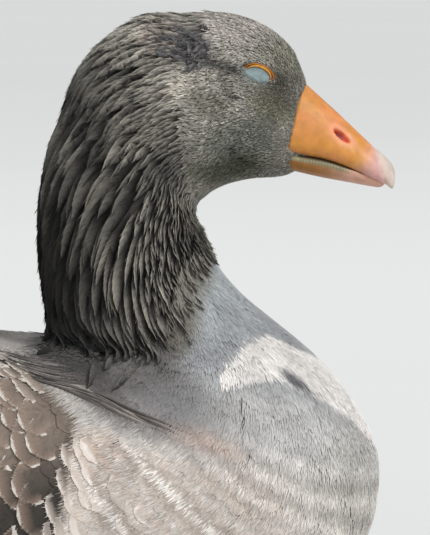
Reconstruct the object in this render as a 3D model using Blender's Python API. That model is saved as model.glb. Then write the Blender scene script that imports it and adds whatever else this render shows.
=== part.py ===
"""A grey domestic goose dozing on its belly, life size, as a still museum model.

Row frame: metres, +X towards the bill, +Y to the bird's left, +Z up. The origin lies on the
floor under the middle of the bird. Each named piece of the body is one closed solid, and
neighbouring pieces are parted by thin cuts. The sizes below are in millimetres.
"""

import math
from collections import namedtuple

import bmesh
import bpy
from mathutils import Matrix, Vector

MM = 0.001
CUT = 0.35  # width of the thin cuts that part neighbouring pieces
WING_CLEARANCE = 1.8  # between the trunk and the inner face of a folded wing
TIP_CLEARANCE = 6.0  # between the tail and the wing's tip, which stands off it

# ---------------------------------------------------------------- driving dimensions

# One cross-section: the points where it meets the back line and the belly line, its half
# width, and how far up from the belly line it is widest, as a share of the way.
Station = namedtuple("Station", "name back_x back_z belly_x belly_z half_width widest")

BODY = (
    Station("bill_root", 230.5, 283.0, 218.5, 232.5, 15.5, 0.42),
    Station("lores", 226.0, 292.0, 211.5, 231.8, 18.5, 0.44),
    Station("brow", 217.0, 302.5, 204.5, 231.2, 21.0, 0.46),
    Station("eye", 206.0, 309.5, 198.0, 230.0, 23.0, 0.45),
    Station("crown", 193.5, 313.5, 191.5, 228.5, 25.0, 0.43),
    Station("ear", 181.0, 314.5, 184.5, 225.5, 27.0, 0.43),
    Station("nape", 168.0, 313.0, 179.5, 222.0, 28.5, 0.45),
    Station("poll", 151.5, 313.0, 176.5, 219.0, 29.5, 0.48),
    Station("arch", 134.0, 303.0, 174.8, 215.5, 31.0, 0.50),
    Station("arch_back", 117.5, 286.5, 174.5, 212.0, 33.0, 0.50),
    Station("hindneck_top", 109.0, 262.0, 175.5, 208.0, 34.5, 0.50),
    Station("hindneck", 101.5, 236.0, 178.0, 203.0, 36.0, 0.50),
    Station("mid_neck", 98.5, 209.0, 181.0, 196.5, 38.0, 0.50),
    Station("low_neck", 99.5, 184.0, 187.0, 185.5, 41.0, 0.50),
    Station("neck_base", 102.5, 163.0, 198.0, 172.5, 46.0, 0.48),
    Station("neck_root", 101.0, 149.5, 216.0, 157.5, 55.0, 0.45),
    Station("withers", 84.0, 149.5, 238.0, 138.5, 70.0, 0.45),
    Station("shoulders", 45.0, 155.0, 257.5, 114.0, 86.0, 0.42),
    Station("breast_front", 0.0, 161.0, 267.5, 86.0, 96.0, 0.40),
    Station("breast_low", -52.0, 164.5, 259.0, 42.0, 101.0, 0.40),
    Station("keel", -100.0, 161.0, 214.0, 6.0, 102.0, 0.40),
    Station("belly", -138.0, 153.0, 112.0, -5.0, 99.0, 0.41),
    Station("rear_belly", -166.0, 144.0, 5.0, -5.0, 92.0, 0.42),
    Station("vent", -187.0, 136.0, -80.0, 8.0, 78.0, 0.44),
    Station("rump", -203.0, 130.0, -135.0, 38.0, 61.0, 0.46),
    Station("tail_root", -216.0, 126.0, -170.0, 70.0, 48.0, 0.50),
)
STATION = {station.name: index for index, station in enumerate(BODY)}
ROUNDNESS = (1.85, 2.1)  # of a body section above and below where it is widest; 2 is round
BODY_AROUND = 32
HEAD_STEPS, BODY_STEPS = 1.5, 2  # rings from one station to the next
BREAST_BACK_X = 118.0  # the upright cut between breast and trunk

# The tail carries on from the trunk's last section and flattens into a fan of feathers.
TAIL = (
    BODY[-1],
    Station("tail_coverts", -230.0, 122.5, -202.0, 92.0, 45.0, 0.55),
    Station("tail_fan", -248.0, 120.5, -236.0, 108.5, 48.0, 0.60),
    Station("tail_tip", -275.0, 119.5, -274.5, 117.4, 54.0, 0.50),
)
TAIL_SQUARENESS = 0.6  # how much squarer than the body's its last section is
TAIL_AROUND = 45
TAIL_STEPS = 2
TAIL_FEATHERS = 9
TAIL_ROUNDING = 30.0  # how far forward the outer feathers of the fan end
TAIL_SCALLOP = 5.0
TAIL_STEP_HEIGHT = 0.9  # each feather lies this much proud of the next

UPPER_BILL = (
    Station("base", 230.0, 279.5, 221.8, 244.0, 15.2, 0.16),
    Station("forehead_side", 234.0, 275.0, 228.0, 242.6, 15.0, 0.16),
    Station("nostril_back", 240.3, 269.0, 235.6, 241.4, 14.3, 0.17),
    Station("nostril", 247.8, 262.2, 243.5, 239.4, 13.5, 0.18),
    Station("nostril_front", 255.7, 254.3, 252.0, 236.2, 12.8, 0.20),
    Station("nail_back", 263.0, 247.4, 260.0, 232.6, 12.0, 0.22),
    Station("nail", 269.0, 242.4, 267.2, 229.4, 10.4, 0.26),
    Station("nail_front", 273.0, 238.0, 271.6, 226.6, 7.8, 0.34),
    Station("nail_hook", 274.8, 233.2, 274.0, 225.4, 4.6, 0.42),
    Station("tip", 275.0, 230.0, 274.8, 226.2, 1.8, 0.50),
)
LOWER_BILL = (
    Station("gape", 221.7, 243.5, 219.8, 235.4, 13.2, 0.80),
    Station("jaw_side", 228.0, 242.1, 227.0, 234.0, 13.2, 0.80),
    Station("jaw_mid", 235.5, 240.9, 236.0, 231.8, 12.7, 0.80),
    Station("jaw_front", 243.5, 238.9, 244.5, 230.2, 11.9, 0.80),
    Station("jaw_narrow", 252.0, 235.6, 253.0, 228.7, 10.8, 0.80),
    Station("jaw_nail", 260.0, 232.0, 261.0, 227.2, 8.8, 0.78),
    Station("jaw_tip", 266.4, 228.9, 266.6, 226.4, 5.2, 0.60),
)
BILL_AROUND = 20
UPPER_ROUNDNESS, LOWER_ROUNDNESS = (2.0, 4.0), (4.0, 2.2)
NAIL_AT = 5.7  # where along UPPER_BILL the horny nail begins
NOSTRIL_CENTRE = (249.3, 251.6)
NOSTRIL_LENGTH, NOSTRIL_HEIGHT, NOSTRIL_DEPTH = 6.6, 2.8, 3.2
NOSTRIL_TILT = math.radians(43.0)

EYE_CENTRE = (206.3, 281.8)
EYE_RADIUS = 8.8
EYE_PROUD = 2.6  # how far the ball stands out of the side of the head

# The folded wing lies on the trunk between an upper and a lower edge, each given by the
# angle round the body at the shoulder and at the wing tip.
WING_FRONT, WING_REAR = 18.05, 27.55  # stations of its two ends on the trunk and tail
WING_UPPER = (math.radians(46.0), math.radians(8.0))
WING_LOWER = (math.radians(102.0), math.radians(19.0))
WING_SLANT = 2.2  # stations by which the lower edge lies behind the upper one
WING_ROUND = 0.20  # the share of its length over which the shoulder is rounded
WING_THICK, WING_EDGE = 9.0, 1.1
WING_THICKEST = 0.3  # where it is thickest, from -1 on its upper edge to 1 on its lower
WING_SPACING = 1.5
PRIMARIES_AT = 0.76
PRIMARY_TIPS = 4

FOOT_JOINT = Vector((10.0, 79.0, 6.6))
HEEL_JOINT = Vector((-70.0, 70.0, 8.4))
KNEE_END = Vector((-46.0, 72.0, 46.0))
SHANK_RADIUS, HEEL_RADIUS, KNEE_RADIUS = 7.0, 9.0, 15.0
# Each toe: its name, heading out from straight ahead in degrees, length and root radius.
TOES = (("inner", -9.0, 60.0, 4.6), ("middle", 8.0, 76.0, 5.2), ("outer", 25.0, 70.0, 4.8))
TOE_TIP_RADIUS = 3.4
HIND_TOE_END = Vector((-12.0, 63.0, 4.0))
WEB_THICK, WEB_NOTCH = 2.4, 0.80
CLAW_LENGTH, CLAW_RADIUS = 8.0, 2.5
LIMB_AROUND = 8

COLOURS = {
    "grey_plumage": ((0.26, 0.25, 0.23), 0.85),
    "neck_plumage": ((0.12, 0.115, 0.10), 0.85),
    "pale_plumage": ((0.58, 0.55, 0.52), 0.85),
    "wing_plumage": ((0.20, 0.17, 0.15), 0.80),
    "tail_plumage": ((0.62, 0.60, 0.58), 0.80),
    "bill_horn": ((0.80, 0.37, 0.12), 0.45),
    "nail_horn": ((0.78, 0.66, 0.58), 0.35),
    "eye_membrane": ((0.28, 0.36, 0.37), 0.15),
    "foot_skin": ((0.75, 0.33, 0.16), 0.55),
    "claw_horn": ((0.10, 0.08, 0.07), 0.40),
}


# ---------------------------------------------------------------- sections and surfaces

def spline(values, at):
    """A smooth curve through the values, read at a fractional index."""
    last = len(values) - 1
    low = min(max(int(math.floor(at)), 0), last - 1)
    part = at - low
    before, start = values[max(low - 1, 0)], values[low]
    end, after = values[low + 1], values[min(low + 2, last)]
    if low == 0:
        before = 2 * start - end
    if low + 1 == last:
        after = 2 * end - start
    bend = 2 * before - 5 * start + 4 * end - after
    turn = 3 * start - before - 3 * end + after
    return 0.5 * (2 * start + part * (end - before + part * (bend + part * turn)))


def station_at(stations, at):
    """The cross-section at a fractional place along a row of stations."""
    sizes = [spline([row[field] for row in stations], at) for field in range(1, 7)]
    return Station("", *sizes)


def signed_power(value, power):
    return math.copysign(abs(value) ** power, value)


def section_point(station, angle, powers=ROUNDNESS):
    """A point of a cross-section. Angle 0 is on the back line and grows to the bird's left."""
    height, side = math.cos(angle), math.sin(angle)
    power = powers[0] if height > 0 else powers[1]
    reach = 1 - station.widest if height > 0 else station.widest
    along = station.widest + reach * signed_power(height, 2 / power)
    x = station.belly_x + along * (station.back_x - station.belly_x)
    z = station.belly_z + along * (station.back_z - station.belly_z)
    y = station.half_width * signed_power(side, 2 / power)
    return Vector((x, y, max(z, 0.0)))


def ring(station, around, powers=ROUNDNESS):
    return [section_point(station, 2 * math.pi * step / around, powers) for step in range(around)]


def steps_between(low, high, each):
    """Fractional places from low to high, each station cut into the same number of steps."""
    count = max(1, round((high - low) * each))
    return [low + (high - low) * step / count for step in range(count + 1)]


def material(name):
    """The finish of one kind of surface, made once and shared."""
    found = bpy.data.materials.get(name)
    if found is None:
        found = bpy.data.materials.new(name)
        found.use_nodes = True
        colour, roughness = COLOURS[name]
        shader = found.node_tree.nodes["Principled BSDF"]
        shader.inputs["Base Color"].default_value = (*colour, 1.0)
        shader.inputs["Roughness"].default_value = roughness
        found.diffuse_color = (*colour, 1.0)
    return found


def add_object(name, bm, finish, smooth_angle=50.0):
    """A named object from a bmesh in millimetres, with its faces pointing out."""
    bmesh.ops.recalc_face_normals(bm, faces=bm.faces)
    mesh = bpy.data.meshes.new(name)
    bmesh.ops.scale(bm, vec=(MM, MM, MM), verts=bm.verts)
    bm.to_mesh(mesh)
    bm.free()
    mesh.shade_smooth()
    mesh.set_sharp_from_angle(angle=math.radians(smooth_angle))
    made = bpy.data.objects.new(name, mesh)
    bpy.context.scene.collection.objects.link(made)
    if finish:
        mesh.materials.append(material(finish))
    return made


def bridge(bm, rings):
    """Joins a row of closed rings into a tube with filled ends."""
    loops = [[bm.verts.new(point) for point in points] for points in rings]
    for low, high in zip(loops, loops[1:]):
        for index in range(len(low)):
            following = (index + 1) % len(low)
            bm.faces.new((low[index], low[following], high[following], high[index]))
    bm.faces.new(loops[0][::-1])
    bm.faces.new(loops[-1])


def loft(rings):
    bm = bmesh.new()
    bridge(bm, rings)
    return bm


def keep_side(bm, point, normal):
    """Cuts the mesh at a plane, keeps the side that the normal points to and closes it."""
    geometry = bm.verts[:] + bm.edges[:] + bm.faces[:]
    cut = bmesh.ops.bisect_plane(
        bm, geom=geometry, dist=1e-5, plane_co=point, plane_no=normal, clear_inner=True
    )
    edges = [item for item in cut["geom_cut"] if isinstance(item, bmesh.types.BMEdge)]
    bmesh.ops.contextual_create(bm, geom=edges)


def plane_at(stations, at):
    """A point and the forward normal of the cross-section's plane."""
    here = station_at(stations, at)
    down = Vector((here.belly_x - here.back_x, 0, here.belly_z - here.back_z))
    forward = Vector((-down.z, 0, down.x)).normalized()
    return Vector((here.back_x, 0, here.back_z)), forward


def part_body(low, high, steps=BODY_STEPS):
    """The length of the body between two stations, with half a thin cut off each end."""
    rings = [ring(station_at(BODY, at), BODY_AROUND) for at in steps_between(low, high, steps)]
    bm = loft(rings)
    for at, side in ((low, -1), (high, 1)):
        if 0 < at < len(BODY) - 1:
            point, forward = plane_at(BODY, at)
            keep_side(bm, point + forward * side * CUT / 2, forward * side)
    return bm


def apply_boolean(target, cutter, operation):
    """Adds an exact Boolean of the cutter to the target, applies it and drops the cutter."""
    modifier = target.modifiers.new(operation.title(), "BOOLEAN")
    modifier.operation = operation
    modifier.object = cutter
    modifier.solver = "EXACT"
    graph = bpy.context.evaluated_depsgraph_get()
    result = bpy.data.meshes.new_from_object(target.evaluated_get(graph))
    target.modifiers.clear()
    target.data = result
    bpy.data.objects.remove(cutter)


# ---------------------------------------------------------------- head, neck and trunk

def ellipsoid(centre, half_sizes, turn=None, segments=14, rings=8):
    bm = bmesh.new()
    bmesh.ops.create_uvsphere(bm, u_segments=segments, v_segments=rings, radius=1.0)
    matrix = Matrix.Translation(centre) @ (turn or Matrix()) @ Matrix.Diagonal((*half_sizes, 1.0))
    bmesh.ops.transform(bm, matrix=matrix, verts=bm.verts)
    return bm


def head_half_width(x, z):
    """Half the head's width where a level line across the bird at x and z leaves it."""
    widths = []
    for at in steps_between(0, STATION["nape"], 24):
        here = station_at(BODY, at)
        for step in range(1, 60):
            point = section_point(here, math.pi * step / 60)
            if abs(point.x - x) < 0.8 and abs(point.z - z) < 0.8:
                widths.append(point.y)
    return sum(widths) / len(widths)


def make_head():
    """The head with a round socket for each eye, and the two eyeballs in them."""
    head = add_object("head", part_body(0, STATION["nape"] + 0.5, HEAD_STEPS), "grey_plumage")
    x, z = EYE_CENTRE
    depth = head_half_width(x, z) + EYE_PROUD - EYE_RADIUS
    for side, name in ((1, "left"), (-1, "right")):
        centre = Vector((x, side * depth, z))
        facing = Matrix.Rotation(math.pi / 2, 4, "X")
        ball = ellipsoid(centre, (EYE_RADIUS,) * 3, facing)
        add_object("eye_" + name, ball, "eye_membrane", 180.0)
        socket = ellipsoid(centre, (EYE_RADIUS + CUT,) * 3, facing)
        apply_boolean(head, add_object("socket", socket, None), "DIFFERENCE")


def make_neck_and_trunk():
    """The neck in two lengths, the breast and the trunk."""
    nape, middle, root = STATION["nape"] + 0.5, STATION["hindneck"], STATION["neck_root"] - 0.5
    add_object("neck_upper", part_body(nape, middle, HEAD_STEPS), "neck_plumage")
    add_object("neck_lower", part_body(middle, root), "neck_plumage")
    for name, side, finish in (("breast", 1, "pale_plumage"), ("trunk", -1, "pale_plumage")):
        bm = part_body(root, STATION["tail_root"])
        cut = Vector((BREAST_BACK_X + side * CUT / 2, 0, 0))
        keep_side(bm, cut, Vector((side, 0, 0)))
        add_object(name, bm, finish)


# ---------------------------------------------------------------- tail

def feather_share(y, half_width):
    """Where a point lies across the tail: its feather's number and its place on the feather."""
    across = min(max((y / half_width + 1) / 2, 0.0), 0.9999) * TAIL_FEATHERS
    return int(across), across - int(across)


def shape_tail(point, progress, half_width):
    """Draws the fan's end forward at its sides, and scallops and steps it by feather."""
    number, place = feather_share(point.y, half_width)
    outward = abs(point.y / half_width)
    shaped = point.copy()
    ends = TAIL_ROUNDING * outward ** 2 + TAIL_SCALLOP * (2 * place - 1) ** 2
    shaped.x += ends * progress ** 2
    middle = (TAIL_FEATHERS - 1) / 2
    layer = TAIL_STEP_HEIGHT * (1 - abs(number - middle) / middle)
    shaped.z += progress * (layer + 1.5 * (1 - outward ** 2))
    return shaped


def tail_powers(progress):
    return tuple(power + TAIL_SQUARENESS * min(2 * progress, 1.0) for power in ROUNDNESS)


def make_tail():
    """The tail: coverts at the root, flattening into a fan of rounded feathers."""
    rings = []
    last = len(TAIL) - 1
    for at in steps_between(0, last, TAIL_STEPS):
        here = station_at(TAIL, at)
        points = ring(here, TAIL_AROUND, tail_powers(at / last))
        rings.append([shape_tail(point, at / last, here.half_width) for point in points])
    bm = loft(rings)
    point, forward = plane_at(BODY, len(BODY) - 1)
    keep_side(bm, point - forward * CUT, -forward)
    add_object("tail", bm, "tail_plumage", 35.0)


# ---------------------------------------------------------------- wings

WHOLE = BODY[:-1] + TAIL


def trunk_surface(at, angle):
    """A point on the trunk, or on the tail behind it, and the outward direction there."""
    here, near = station_at(WHOLE, at), 0.02
    powers = tail_powers(max(at - len(BODY) + 1, 0.0) / (len(TAIL) - 1))
    point = section_point(here, angle, powers)
    along = section_point(station_at(WHOLE, at + near), angle, powers) - point
    around = section_point(here, angle + near, powers) - point
    return point, around.cross(along).normalized()


def eased(share):
    share = min(max(share, 0.0), 1.0)
    return share * share * (3 - 2 * share)


def mixed(pair, share):
    return pair[0] + (pair[1] - pair[0]) * share


def wing_breadth(share):
    """Breadth of the wing as a share of the way between its edges: round at the shoulder,
    and drawn in by steps where the primaries end one behind another."""
    breadth = math.sqrt(1 - (1 - min(share / WING_ROUND, 1.0)) ** 2)
    if share > PRIMARIES_AT:
        beyond = (share - PRIMARIES_AT) / (1 - PRIMARIES_AT)
        step = beyond * PRIMARY_TIPS
        breadth *= (1 - 0.16 * (step - math.floor(step))) * (1 - 0.75 * beyond ** 2)
    return breadth


def wing_point(share, across, lift):
    """A point of the folded wing. Across runs from -1 on its upper edge to 1 on its lower."""
    upper = mixed(WING_UPPER, eased(share / 0.6))
    lower = mixed(WING_LOWER, share ** 2.3)
    breadth = wing_breadth(share)
    angle = (upper + lower) / 2 + across * breadth * (lower - upper) / 2
    at = mixed((WING_FRONT, WING_REAR), share) + WING_SLANT * across * breadth * (1 - share)
    point, outward = trunk_surface(at, angle)
    clearance = mixed((WING_CLEARANCE, TIP_CLEARANCE), share ** 4)
    return point + outward * (clearance + lift)


def wing_lift(share, across):
    """Thickness of the wing: full over the folded arm, thin at its feathered edges."""
    reach = 1 - WING_THICKEST if across > WING_THICKEST else 1 + WING_THICKEST
    crown = max(1 - ((across - WING_THICKEST) / reach) ** 2, 0.0) ** 0.8
    along = math.sin(math.pi * min(0.12 + share * 0.88, 1.0)) ** 0.6
    return WING_EDGE + (WING_THICK - WING_EDGE) * crown * along


def wing_piece(low, high, lengthwise, crosswise, side, spacing=1.0):
    """The part of the wing between two shares of its length, as one closed solid.
    A spacing above 1 sets its rows closer together towards the shoulder."""
    bm = bmesh.new()
    faces = []
    for outer in (False, True):
        grid = []
        for row in range(lengthwise + 1):
            share = mixed((low, high), (row / lengthwise) ** spacing)
            line = []
            for column in range(crosswise + 1):
                across = 2 * column / crosswise - 1
                lift = wing_lift(share, across) if outer else 0.0
                place = wing_point(share, across, lift)
                line.append(bm.verts.new((place.x, side * place.y, place.z)))
            grid.append(line)
        faces.append(grid)
        for line, following in zip(grid, grid[1:]):
            for column in range(crosswise):
                bm.faces.new((line[column], line[column + 1], following[column + 1], following[column]))
    inner, outer = faces
    edge = [(row, 0) for row in range(lengthwise)]
    edge += [(lengthwise, column) for column in range(crosswise)]
    edge += [(row, crosswise) for row in range(lengthwise, 0, -1)]
    edge += [(0, column) for column in range(crosswise, 0, -1)]
    for (row, column), (next_row, next_column) in zip(edge, edge[1:] + edge[:1]):
        bm.faces.new((
            inner[row][column], inner[next_row][next_column],
            outer[next_row][next_column], outer[row][column],
        ))
    return bm


def make_wings():
    """Each folded wing: its arm with coverts, and the primaries that reach over the rump."""
    gap = 0.002
    for side, name in ((1, "left"), (-1, "right")):
        arm = wing_piece(0.006, PRIMARIES_AT - gap, 17, 8, side, WING_SPACING)
        add_object("wing_" + name, arm, "wing_plumage", 60.0)
        primaries = wing_piece(PRIMARIES_AT + gap, 0.985, 16, 5, side)
        add_object("primaries_" + name, primaries, "wing_plumage", 40.0)


# ---------------------------------------------------------------- bill

def make_bill():
    """Upper bill with sunk nostrils, its nail, and the lower bill, which stays shut."""
    last = len(UPPER_BILL) - 1
    for name, low, high, finish in (
        ("bill_upper", 0, NAIL_AT, "bill_horn"), ("bill_nail", NAIL_AT, last, "nail_horn")
    ):
        places = steps_between(low, high, 1.5)
        bm = loft([ring(station_at(UPPER_BILL, at), BILL_AROUND, UPPER_ROUNDNESS) for at in places])
        point, forward = plane_at(UPPER_BILL, NAIL_AT)
        side = 1 if name == "bill_nail" else -1
        keep_side(bm, point + forward * side * CUT / 2, forward * side)
        piece = add_object(name, bm, finish)
        if name == "bill_upper":
            sink_nostrils(piece)
    places = steps_between(0, len(LOWER_BILL) - 1, 1.4)
    lower = loft([ring(station_at(LOWER_BILL, at), BILL_AROUND, LOWER_ROUNDNESS) for at in places])
    add_object("bill_lower", lower, "bill_horn")


def sink_nostrils(bill):
    """A shallow slanting nostril on each side of the upper bill."""
    x, z = NOSTRIL_CENTRE
    here = station_at(UPPER_BILL, 3.45)
    for side in (1, -1):
        centre = Vector((x, side * here.half_width * 0.80, z))
        turn = Matrix.Rotation(NOSTRIL_TILT, 4, "Y")
        sizes = (NOSTRIL_LENGTH / 2, NOSTRIL_DEPTH, NOSTRIL_HEIGHT / 2)
        cutter = add_object("nostril", ellipsoid(centre, sizes, turn, 10, 6), None)
        apply_boolean(bill, cutter, "DIFFERENCE")


# ---------------------------------------------------------------- legs and feet

def capsule(start, end, start_radius, end_radius):
    """A round tapered limb with domed ends."""
    axis = (end - start).normalized()
    across = axis.cross(Vector((0, 0, 1))).normalized()
    upward = across.cross(axis)
    domes = 3
    profile = []
    for step in range(1, domes + 1):
        turn = math.pi / 2 * step / domes
        profile.append((-math.cos(turn) * start_radius, math.sin(turn) * start_radius))
    length = (end - start).length
    for step in range(domes):
        turn = math.pi / 2 * step / domes
        profile.append((length + math.sin(turn) * end_radius, math.cos(turn) * end_radius))
    rings = []
    for along, radius in profile:
        spokes = [2 * math.pi * step / LIMB_AROUND for step in range(LIMB_AROUND)]
        rings.append([
            start + axis * along + (across * math.cos(turn) + upward * math.sin(turn)) * radius
            for turn in spokes
        ])
    return loft(rings)


def toe_end(heading, length):
    """The end of a toe of the left foot, resting on the floor."""
    turn = math.radians(heading)
    flat = Vector((math.cos(turn) * length, math.sin(turn) * length, 0))
    return Vector((FOOT_JOINT.x + flat.x, FOOT_JOINT.y + flat.y, TOE_TIP_RADIUS - 0.5))


def web():
    """The skin between the toes: a thin plate, drawn back in a curve from toe to toe."""
    rim = []
    steps = 6
    for (_, low, low_length, _), (_, high, high_length, _) in zip(TOES, TOES[1:]):
        for step in range(steps):
            share = step / steps
            notch = 1 - (1 - WEB_NOTCH) * math.sin(math.pi * share)
            length = (low_length + (high_length - low_length) * share) * notch
            rim.append(toe_end(low + (high - low) * share, length))
    rim.append(toe_end(TOES[-1][1], TOES[-1][2]))
    outline = [Vector((FOOT_JOINT.x - 4, FOOT_JOINT.y, 0))] + rim
    bm = bmesh.new()
    low = [bm.verts.new((point.x, point.y, -1.0)) for point in outline]
    face = bm.faces.new(low)
    raised = bmesh.ops.extrude_face_region(bm, geom=[face])
    verts = [item for item in raised["geom"] if isinstance(item, bmesh.types.BMVert)]
    bmesh.ops.translate(bm, vec=(0, 0, 1.0 + WEB_THICK), verts=verts)
    return bm


def floor_cutter():
    bm = bmesh.new()
    bmesh.ops.create_cube(bm, size=400.0)
    bmesh.ops.translate(bm, vec=(0, 60, -200.0), verts=bm.verts)
    return bm


def grown_trunk():
    """The trunk a thin cut larger, to part the legs from it."""
    rings = []
    for at in steps_between(STATION["withers"], STATION["tail_root"], BODY_STEPS):
        here = station_at(BODY, at)
        points = ring(here, BODY_AROUND)
        middle = sum(points, Vector()) / len(points)
        rings.append([point + (point - middle).normalized() * 3 * CUT for point in points])
    return loft(rings)


def claw(heading, length):
    """A short curved nail in front of a toe, resting on the floor."""
    end = toe_end(heading, length)
    turn = math.radians(heading)
    ahead = Vector((math.cos(turn), math.sin(turn), 0))
    aside = Vector((-ahead.y, ahead.x, 0))
    rings = []
    steps = 3
    for step in range(steps + 1):
        share = step / steps
        radius = CLAW_RADIUS * (1 - 0.82 * share ** 1.3)
        centre = end + ahead * (TOE_TIP_RADIUS + CUT + CLAW_LENGTH * share)
        centre.z = radius
        rings.append([
            centre + aside * math.cos(spoke) * radius + Vector((0, 0, math.sin(spoke) * radius))
            for spoke in [2 * math.pi * index / 6 for index in range(6)]
        ])
    return loft(rings)


def mirror_to_right(bm):
    bmesh.ops.scale(bm, vec=(1, -1, 1), verts=bm.verts)
    return bm


def make_leg(name, mirrored):
    """A folded leg: the shank lies on the floor and the webbed foot points ahead."""
    turned = mirror_to_right if mirrored else (lambda bm: bm)
    leg = add_object("leg_" + name, turned(capsule(HEEL_JOINT, FOOT_JOINT, HEEL_RADIUS, SHANK_RADIUS)),
                     "foot_skin")
    pieces = [capsule(HEEL_JOINT, KNEE_END, HEEL_RADIUS, KNEE_RADIUS), web()]
    pieces += [
        capsule(FOOT_JOINT, toe_end(heading, length), radius, TOE_TIP_RADIUS)
        for _, heading, length, radius in TOES
    ]
    hind_root = FOOT_JOINT + Vector((-2.0, -5.0, 0))
    pieces.append(capsule(hind_root, HIND_TOE_END, 3.6, 2.6))
    for bm in pieces:
        apply_boolean(leg, add_object("limb", turned(bm), None), "UNION")
    for bm in (turned(floor_cutter()), grown_trunk()):
        apply_boolean(leg, add_object("cutter", bm, None), "DIFFERENCE")
    for toe, heading, length, _ in TOES:
        add_object(f"claw_{name}_{toe}", turned(claw(heading, length)), "claw_horn")


def main():
    for item in list(bpy.data.objects):
        bpy.data.objects.remove(item)
    make_head()
    make_neck_and_trunk()
    make_tail()
    make_wings()
    make_bill()
    for name, mirrored in (("left", False), ("right", True)):
        make_leg(name, mirrored)


main()
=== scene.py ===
"""A grey domestic goose dozing on its belly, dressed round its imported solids.

One skin runs under the whole plumage. The plumage is laid tract by tract, as overlapping tufts,
locks and vanes whose roots sit on a map of the body and whose blades follow its surface. The
bill, eyes, lids, tail, flight feathers, legs and claws are pieces of their own.
Lengths are in millimetres unless a name says otherwise, and meshes are written in metres.
"""

import logging
import math
from dataclasses import dataclass
from enum import Enum
from typing import Callable, Sequence

import bpy
import numpy as np
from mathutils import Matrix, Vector
from mathutils.bvhtree import BVHTree
from mathutils.kdtree import KDTree

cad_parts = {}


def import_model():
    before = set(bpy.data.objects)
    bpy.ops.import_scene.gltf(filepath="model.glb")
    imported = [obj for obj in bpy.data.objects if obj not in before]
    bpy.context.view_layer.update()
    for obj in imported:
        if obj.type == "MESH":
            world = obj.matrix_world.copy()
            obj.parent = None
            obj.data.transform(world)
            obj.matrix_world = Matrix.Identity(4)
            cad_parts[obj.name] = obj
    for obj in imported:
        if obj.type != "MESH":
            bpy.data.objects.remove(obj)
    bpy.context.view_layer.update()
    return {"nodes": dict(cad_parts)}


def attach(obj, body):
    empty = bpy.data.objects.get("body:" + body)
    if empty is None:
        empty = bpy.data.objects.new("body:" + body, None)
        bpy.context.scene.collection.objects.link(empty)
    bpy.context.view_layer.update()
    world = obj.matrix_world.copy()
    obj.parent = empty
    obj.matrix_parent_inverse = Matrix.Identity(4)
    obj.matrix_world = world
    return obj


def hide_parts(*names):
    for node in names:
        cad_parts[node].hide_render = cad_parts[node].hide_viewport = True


MM = 0.001
BAKE_MAP, VANE_MAP, TINT = "OFBake", "vane", "tint"
TUFT_PATCH = 0.003  # a tuft's size on the unwrap
UNWRAP_MARGIN = 0.02
FLOOR_GAP = 0.05  # how far feathers stay off the floor
NO_RIM = 9.0  # a distance at which no pale rim shows
VANE_SPREAD = 40.0  # how far apart feathers may lie on the streaks' pattern
SHADE_ENDS = (5, 250)  # the darkest and the palest screen value of a mixed shade
SPOTS = (0.3, 0.7)  # the share of a noise that mottles a surface
BARB_INPUTS = ("Fineness", "Sweep", "Shaft")
LOOK_AT, LOOK_FROM, LOOK_DOWN = (184.5, 186.25), 2500.0, math.radians(5.0)
RINGS, HALF_SPOKES = 300, 73  # the body's map: rings, and rays on each ring's left half
LOG = logging.getLogger("goose")

Array = np.ndarray


# ---------------------------------------------------------------- small mathematics


def eased(value: Array | float, low: float, high: float) -> Array:
    """A smooth step from 0 at low to 1 at high.

    Args:
        value: The number or numbers to judge.
        low: Where the step begins.
        high: Where the step ends.
    Returns:
        The step's height, from 0 to 1.
    """
    share = np.clip((np.asarray(value, float) - low) / (high - low), 0.0, 1.0)
    return share * share * (3 - 2 * share)


def unit(vectors: Array) -> Array:
    """The vectors at length 1."""
    return vectors / np.maximum(np.linalg.norm(vectors, axis=-1, keepdims=True), 1e-9)


def on_unwrap(round_it: Array, along: Array) -> Array:
    """Places on a form's unwrap from shares round it and along it, inside a narrow margin."""
    return UNWRAP_MARGIN + (1 - 2 * UNWRAP_MARGIN) * np.stack([round_it, along], axis=-1)


def dot(a: Array, b: Array) -> Array:
    """The dot products of two rows of vectors, with the last axis kept."""
    return np.sum(a * b, axis=-1, keepdims=True)


def linear(shade: Sequence[float]) -> Array:
    """A shade written as 0 to 255 in screen values, as linear light."""
    share = np.asarray(shade, float) / 255.0
    return np.where(share <= 0.04045, share / 12.92, ((share + 0.055) / 1.055) ** 2.4)


def blended(base: Array, shade: Sequence[float], share: Array | float) -> Array:
    """A field of shades brought towards one shade by a share for each place."""
    return base + (np.asarray(shade) - base) * np.asarray(share)[..., None]


def turned(dx: Array, dz: Array, degrees: float) -> tuple[Array, Array]:
    """Offsets measured along and across a line that leans by some degrees."""
    sine, cosine = math.sin(math.radians(degrees)), math.cos(math.radians(degrees))
    return dx * cosine + dz * sine, dz * cosine - dx * sine


def painted(mesh: bpy.types.Mesh, shades: Array) -> None:
    """Writes linear shades on a mesh's corners."""
    layer = mesh.color_attributes.new(TINT, "FLOAT_COLOR", "POINT")
    shades = np.broadcast_to(np.clip(shades, 0, 1), (len(mesh.vertices), 3))
    shades = np.concatenate([shades, np.ones((len(shades), 1))], axis=1)
    layer.data.foreach_set("color", shades.astype(np.float32).ravel())


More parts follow.
